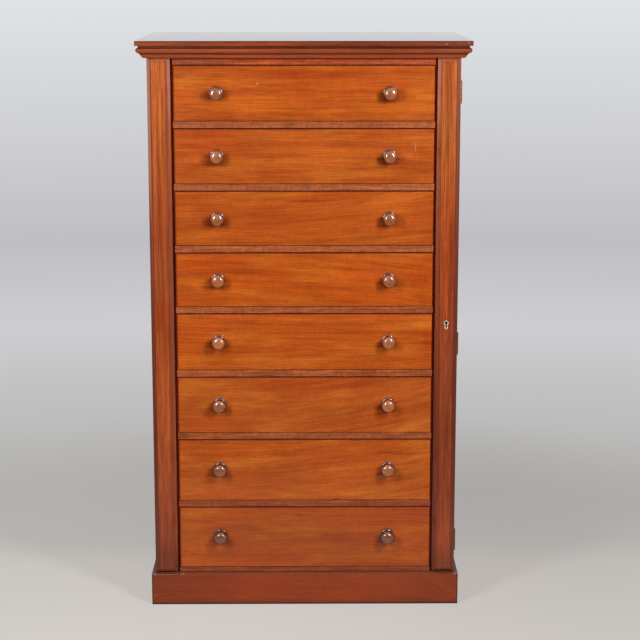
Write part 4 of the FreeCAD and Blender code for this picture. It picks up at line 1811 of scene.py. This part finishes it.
@dataclass
class Studio:
    """Floor, backdrop, lamps and camera.

    Attributes:
        camera_place: Where the camera stands.
        camera_pitch: How far it looks down, in degrees.
        camera_yaw: How far it looks to the right, in degrees.
        camera_reach: How far it sees.
        sensor: Width of its sensor in millimetres.
        lens: Focal length in millimetres.
        lamps: The lamps on both sides of the camera.
        lamp_aim: What they point at.
        sky: Brightness of the light from all round.
        backdrop_foot: Upward part of the direction at which the backdrop's shades start.
        backdrop: Shades of the backdrop, from well below eye level up to it.
        dim_room: Brightness of the room in front of the chest, as its polish shows it.
        room_span: Directions along Y over which the room goes from dim to bright.
        ceiling: Brightness of the ceiling above the camera, as the polish shows it.
        ceiling_span: Upward directions over which the ceiling comes in.
        ground: Brightness of the ground below the backdrop, as the polish shows it.
        ground_span: Upward directions over which the ground goes over to the backdrop.
        floor_front: Glow of the floor in front of the chest.
        floor_back: Glow of the floor behind it.
        floor_paint: Colour of the floor under the lamps.
        floor_turn: Where, from front to back, the floor's glow changes.
        floor_shine: Share of the floor's own brightness that the polish shows.
        floor_left: Brightness of the floor's left side.
        floor_right: Brightness of its right side.
        floor_half: Half the width over which the brightness changes.
        floor_radius: Radius of the floor.
        floor_fade: Distance at which the floor starts to run into the backdrop.
        floor_sides: Sides of the floor's rim.
    """

    camera_place: Point = (0.0, -3.816, 1.3422)
    camera_pitch: float = 11.38
    camera_yaw: float = 0.51
    camera_reach: float = 100.0
    sensor: float = 36.0
    lens: float = 100.24
    lamps: tuple[Lamp, ...] = (
        Lamp("right_lamp", (1.05, -1.60, 1.50), 0.36, 0.84, 22.3),
        Lamp("left_lamp", (-1.05, -1.60, 1.30), 0.40, 0.90, 17.0),
    )
    lamp_aim: Point = (0.0, -0.2, 0.45)
    sky: float = 0.10
    backdrop_foot: float = -0.40
    backdrop: tuple[tuple[float, Colour], ...] = (
        (0.18, paint(206, 201, 197)), (0.27, paint(180, 178, 175)), (0.42, paint(193, 193, 194)),
        (0.50, paint(206, 205, 208)), (0.62, paint(191, 190, 195)), (0.95, paint(224, 226, 230)),
    )
    dim_room: float = 0.05
    room_span: Span = (-0.60, -0.05)
    ceiling: float = 0.7
    ceiling_span: Span = (0.50, 0.75)
    ground: float = 0.2
    ground_span: Span = (-0.22, -0.06)
    floor_front: Colour = paint(163, 160, 157)
    floor_back: Colour = paint(152, 151, 148)
    floor_paint: Colour = paint(158, 155, 152)
    floor_turn: Span = (0.0, 0.25)
    floor_shine: float = 0.3
    floor_left: float = 1.17
    floor_right: float = 0.98
    floor_half: float = 0.7
    floor_radius: float = 1.6
    floor_fade: float = 0.55
    floor_sides: int = 96

    def build(self) -> None:
        """Set up everything around the chest."""
        self.set_camera()
        self.set_lamps()
        self.set_sky()
        self.lay_floor()
        bpy.context.scene.view_settings.view_transform = "Standard"

    def set_camera(self) -> None:
        """Put the camera at the photograph's viewpoint."""
        camera = bpy.data.cameras.new("camera")
        camera.lens = self.lens
        camera.sensor_width = self.sensor
        camera.clip_end = self.camera_reach
        holder = bpy.data.objects.new("camera", camera)
        holder.location = self.camera_place
        tilt = math.radians(90.0 - self.camera_pitch)
        holder.rotation_euler = (tilt, 0.0, math.radians(-self.camera_yaw))
        bpy.context.scene.collection.objects.link(holder)
        bpy.context.scene.camera = holder

    def set_lamps(self) -> None:
        """Put one soft lamp on each side of the camera."""
        for lamp in self.lamps:
            light = bpy.data.lights.new(lamp.name, "AREA")
            light.shape = "RECTANGLE"
            light.size = lamp.width
            light.size_y = lamp.height
            light.energy = lamp.power
            holder = bpy.data.objects.new(lamp.name, light)
            holder.location = lamp.place
            aim = Vector(self.lamp_aim) - Vector(lamp.place)
            holder.rotation_euler = aim.to_track_quat("-Z", "Y").to_euler()
            bpy.context.scene.collection.objects.link(holder)

    def set_sky(self) -> None:
        """Light the chest from all round and show a pale backdrop behind it."""
        world = bpy.data.worlds.new("studio")
        bpy.context.scene.world = world
        world.use_nodes = True
        pen = NodePen(world.node_tree)
        axes = pen.axes(pen.node("ShaderNodeTexCoord").outputs["Generated"])
        rise = pen.span(axes[Axis.Z], self.backdrop_foot, 0.0)
        rise.node.interpolation_type = "LINEAR"
        ramp = pen.node("ShaderNodeValToRGB", Fac=rise)
        self.shade_backdrop(ramp.color_ramp)
        rays = pen.node("ShaderNodeLightPath").outputs
        room = pen.span(axes[Axis.Y], *self.room_span, self.dim_room, 1.0)
        room = pen.math("MAXIMUM", room, pen.span(axes[Axis.Z], *self.ceiling_span, 0.0, self.ceiling))
        ground = pen.span(axes[Axis.Z], *self.ground_span, self.ground, 1.0)
        mirrored = pen.math("MULTIPLY", room, ground)
        hidden = pen.math("MULTIPLY", pen.math("SUBTRACT", 1.0, mirrored), rays["Is Glossy Ray"])
        level = pen.math("SUBTRACT", 1.0, hidden)
        seen = pen.math("MAXIMUM", rays["Is Camera Ray"], rays["Is Glossy Ray"])
        seen = pen.math("MAXIMUM", seen, rays["Is Transmission Ray"])
        light = pen.node("ShaderNodeBackground", Color=(1.0, 1.0, 1.0), Strength=self.sky)
        shown = pen.node("ShaderNodeBackground", Color=ramp.outputs[0], Strength=level)
        pen.node("ShaderNodeOutputWorld", Surface=pen.mix_shaders(seen, light, shown))

    def shade_backdrop(self, ramp: bpy.types.ColorRamp) -> None:
        """Shade the backdrop from the floor up, as a studio sweep is.

        Args:
            ramp: The ramp to fill, which has two stops.
        """
        for index, (place, shade) in enumerate(self.backdrop):
            stop = ramp.elements[index] if index < 2 else ramp.elements.new(place)
            stop.position = place
            stop.color = (*shade, 1.0)

    def lay_floor(self) -> None:
        """Lay a pale floor that keeps the chest's shadow."""
        form = bmesh.new()
        bmesh.ops.create_circle(form, cap_ends=True, segments=self.floor_sides, radius=self.floor_radius)
        mesh = mesh_of("floor", form)
        mesh.materials.append(self.floor_finish())
        place_mesh("floor", mesh)

    def floor_finish(self) -> bpy.types.Material:
        """Make the floor's material, which glows a little and fades out at the rim.

        Returns:
            The material.
        """
        finish, pen = blank_material("pale_floor")
        place = pen.place()
        axes = pen.axes(place)
        shade = pen.mix(pen.span(axes[Axis.Y], *self.floor_turn), self.floor_front, self.floor_back)
        rays = pen.node("ShaderNodeLightPath").outputs
        seen = pen.math("MAXIMUM", rays["Is Camera Ray"], rays["Is Transmission Ray"])
        mirrored = pen.math("MULTIPLY", rays["Is Glossy Ray"], self.floor_shine)
        half = self.floor_half
        sideways = pen.span(axes[Axis.X], -half, half, self.floor_left, self.floor_right)
        strength = pen.math("MULTIPLY", pen.math("ADD", seen, mirrored), sideways)
        glow = pen.node("ShaderNodeEmission", Color=shade, Strength=strength)
        matt = pen.node("ShaderNodeBsdfDiffuse", Color=self.floor_paint)
        both = pen.node("ShaderNodeAddShader")
        pen.feed(both.inputs[0], glow.outputs[0])
        pen.feed(both.inputs[1], matt.outputs[0])
        distance = pen.node("ShaderNodeVectorMath")
        distance.operation = "LENGTH"
        pen.feed(distance.inputs[0], place)
        away = pen.span(distance.outputs["Value"], self.floor_fade, self.floor_radius)
        clear = pen.node("ShaderNodeBsdfTransparent")
        pen.node("ShaderNodeOutputMaterial", Surface=pen.mix_shaders(away, both, clear))
        return finish


def main() -> None:
    """Build and dress the chest piece by piece and set up the studio."""
    logging.basicConfig(level=logging.INFO, format="%(name)s: %(message)s")
    drawers = [Drawer(number) for number in range(1, DRAWER_COUNT + 1)]
    for group in (Carcase(), Cornice(), Pilasters(), Hinges(), Lock(), *drawers, Studio()):
        group.build()


if __name__ == "__main__":
    main()
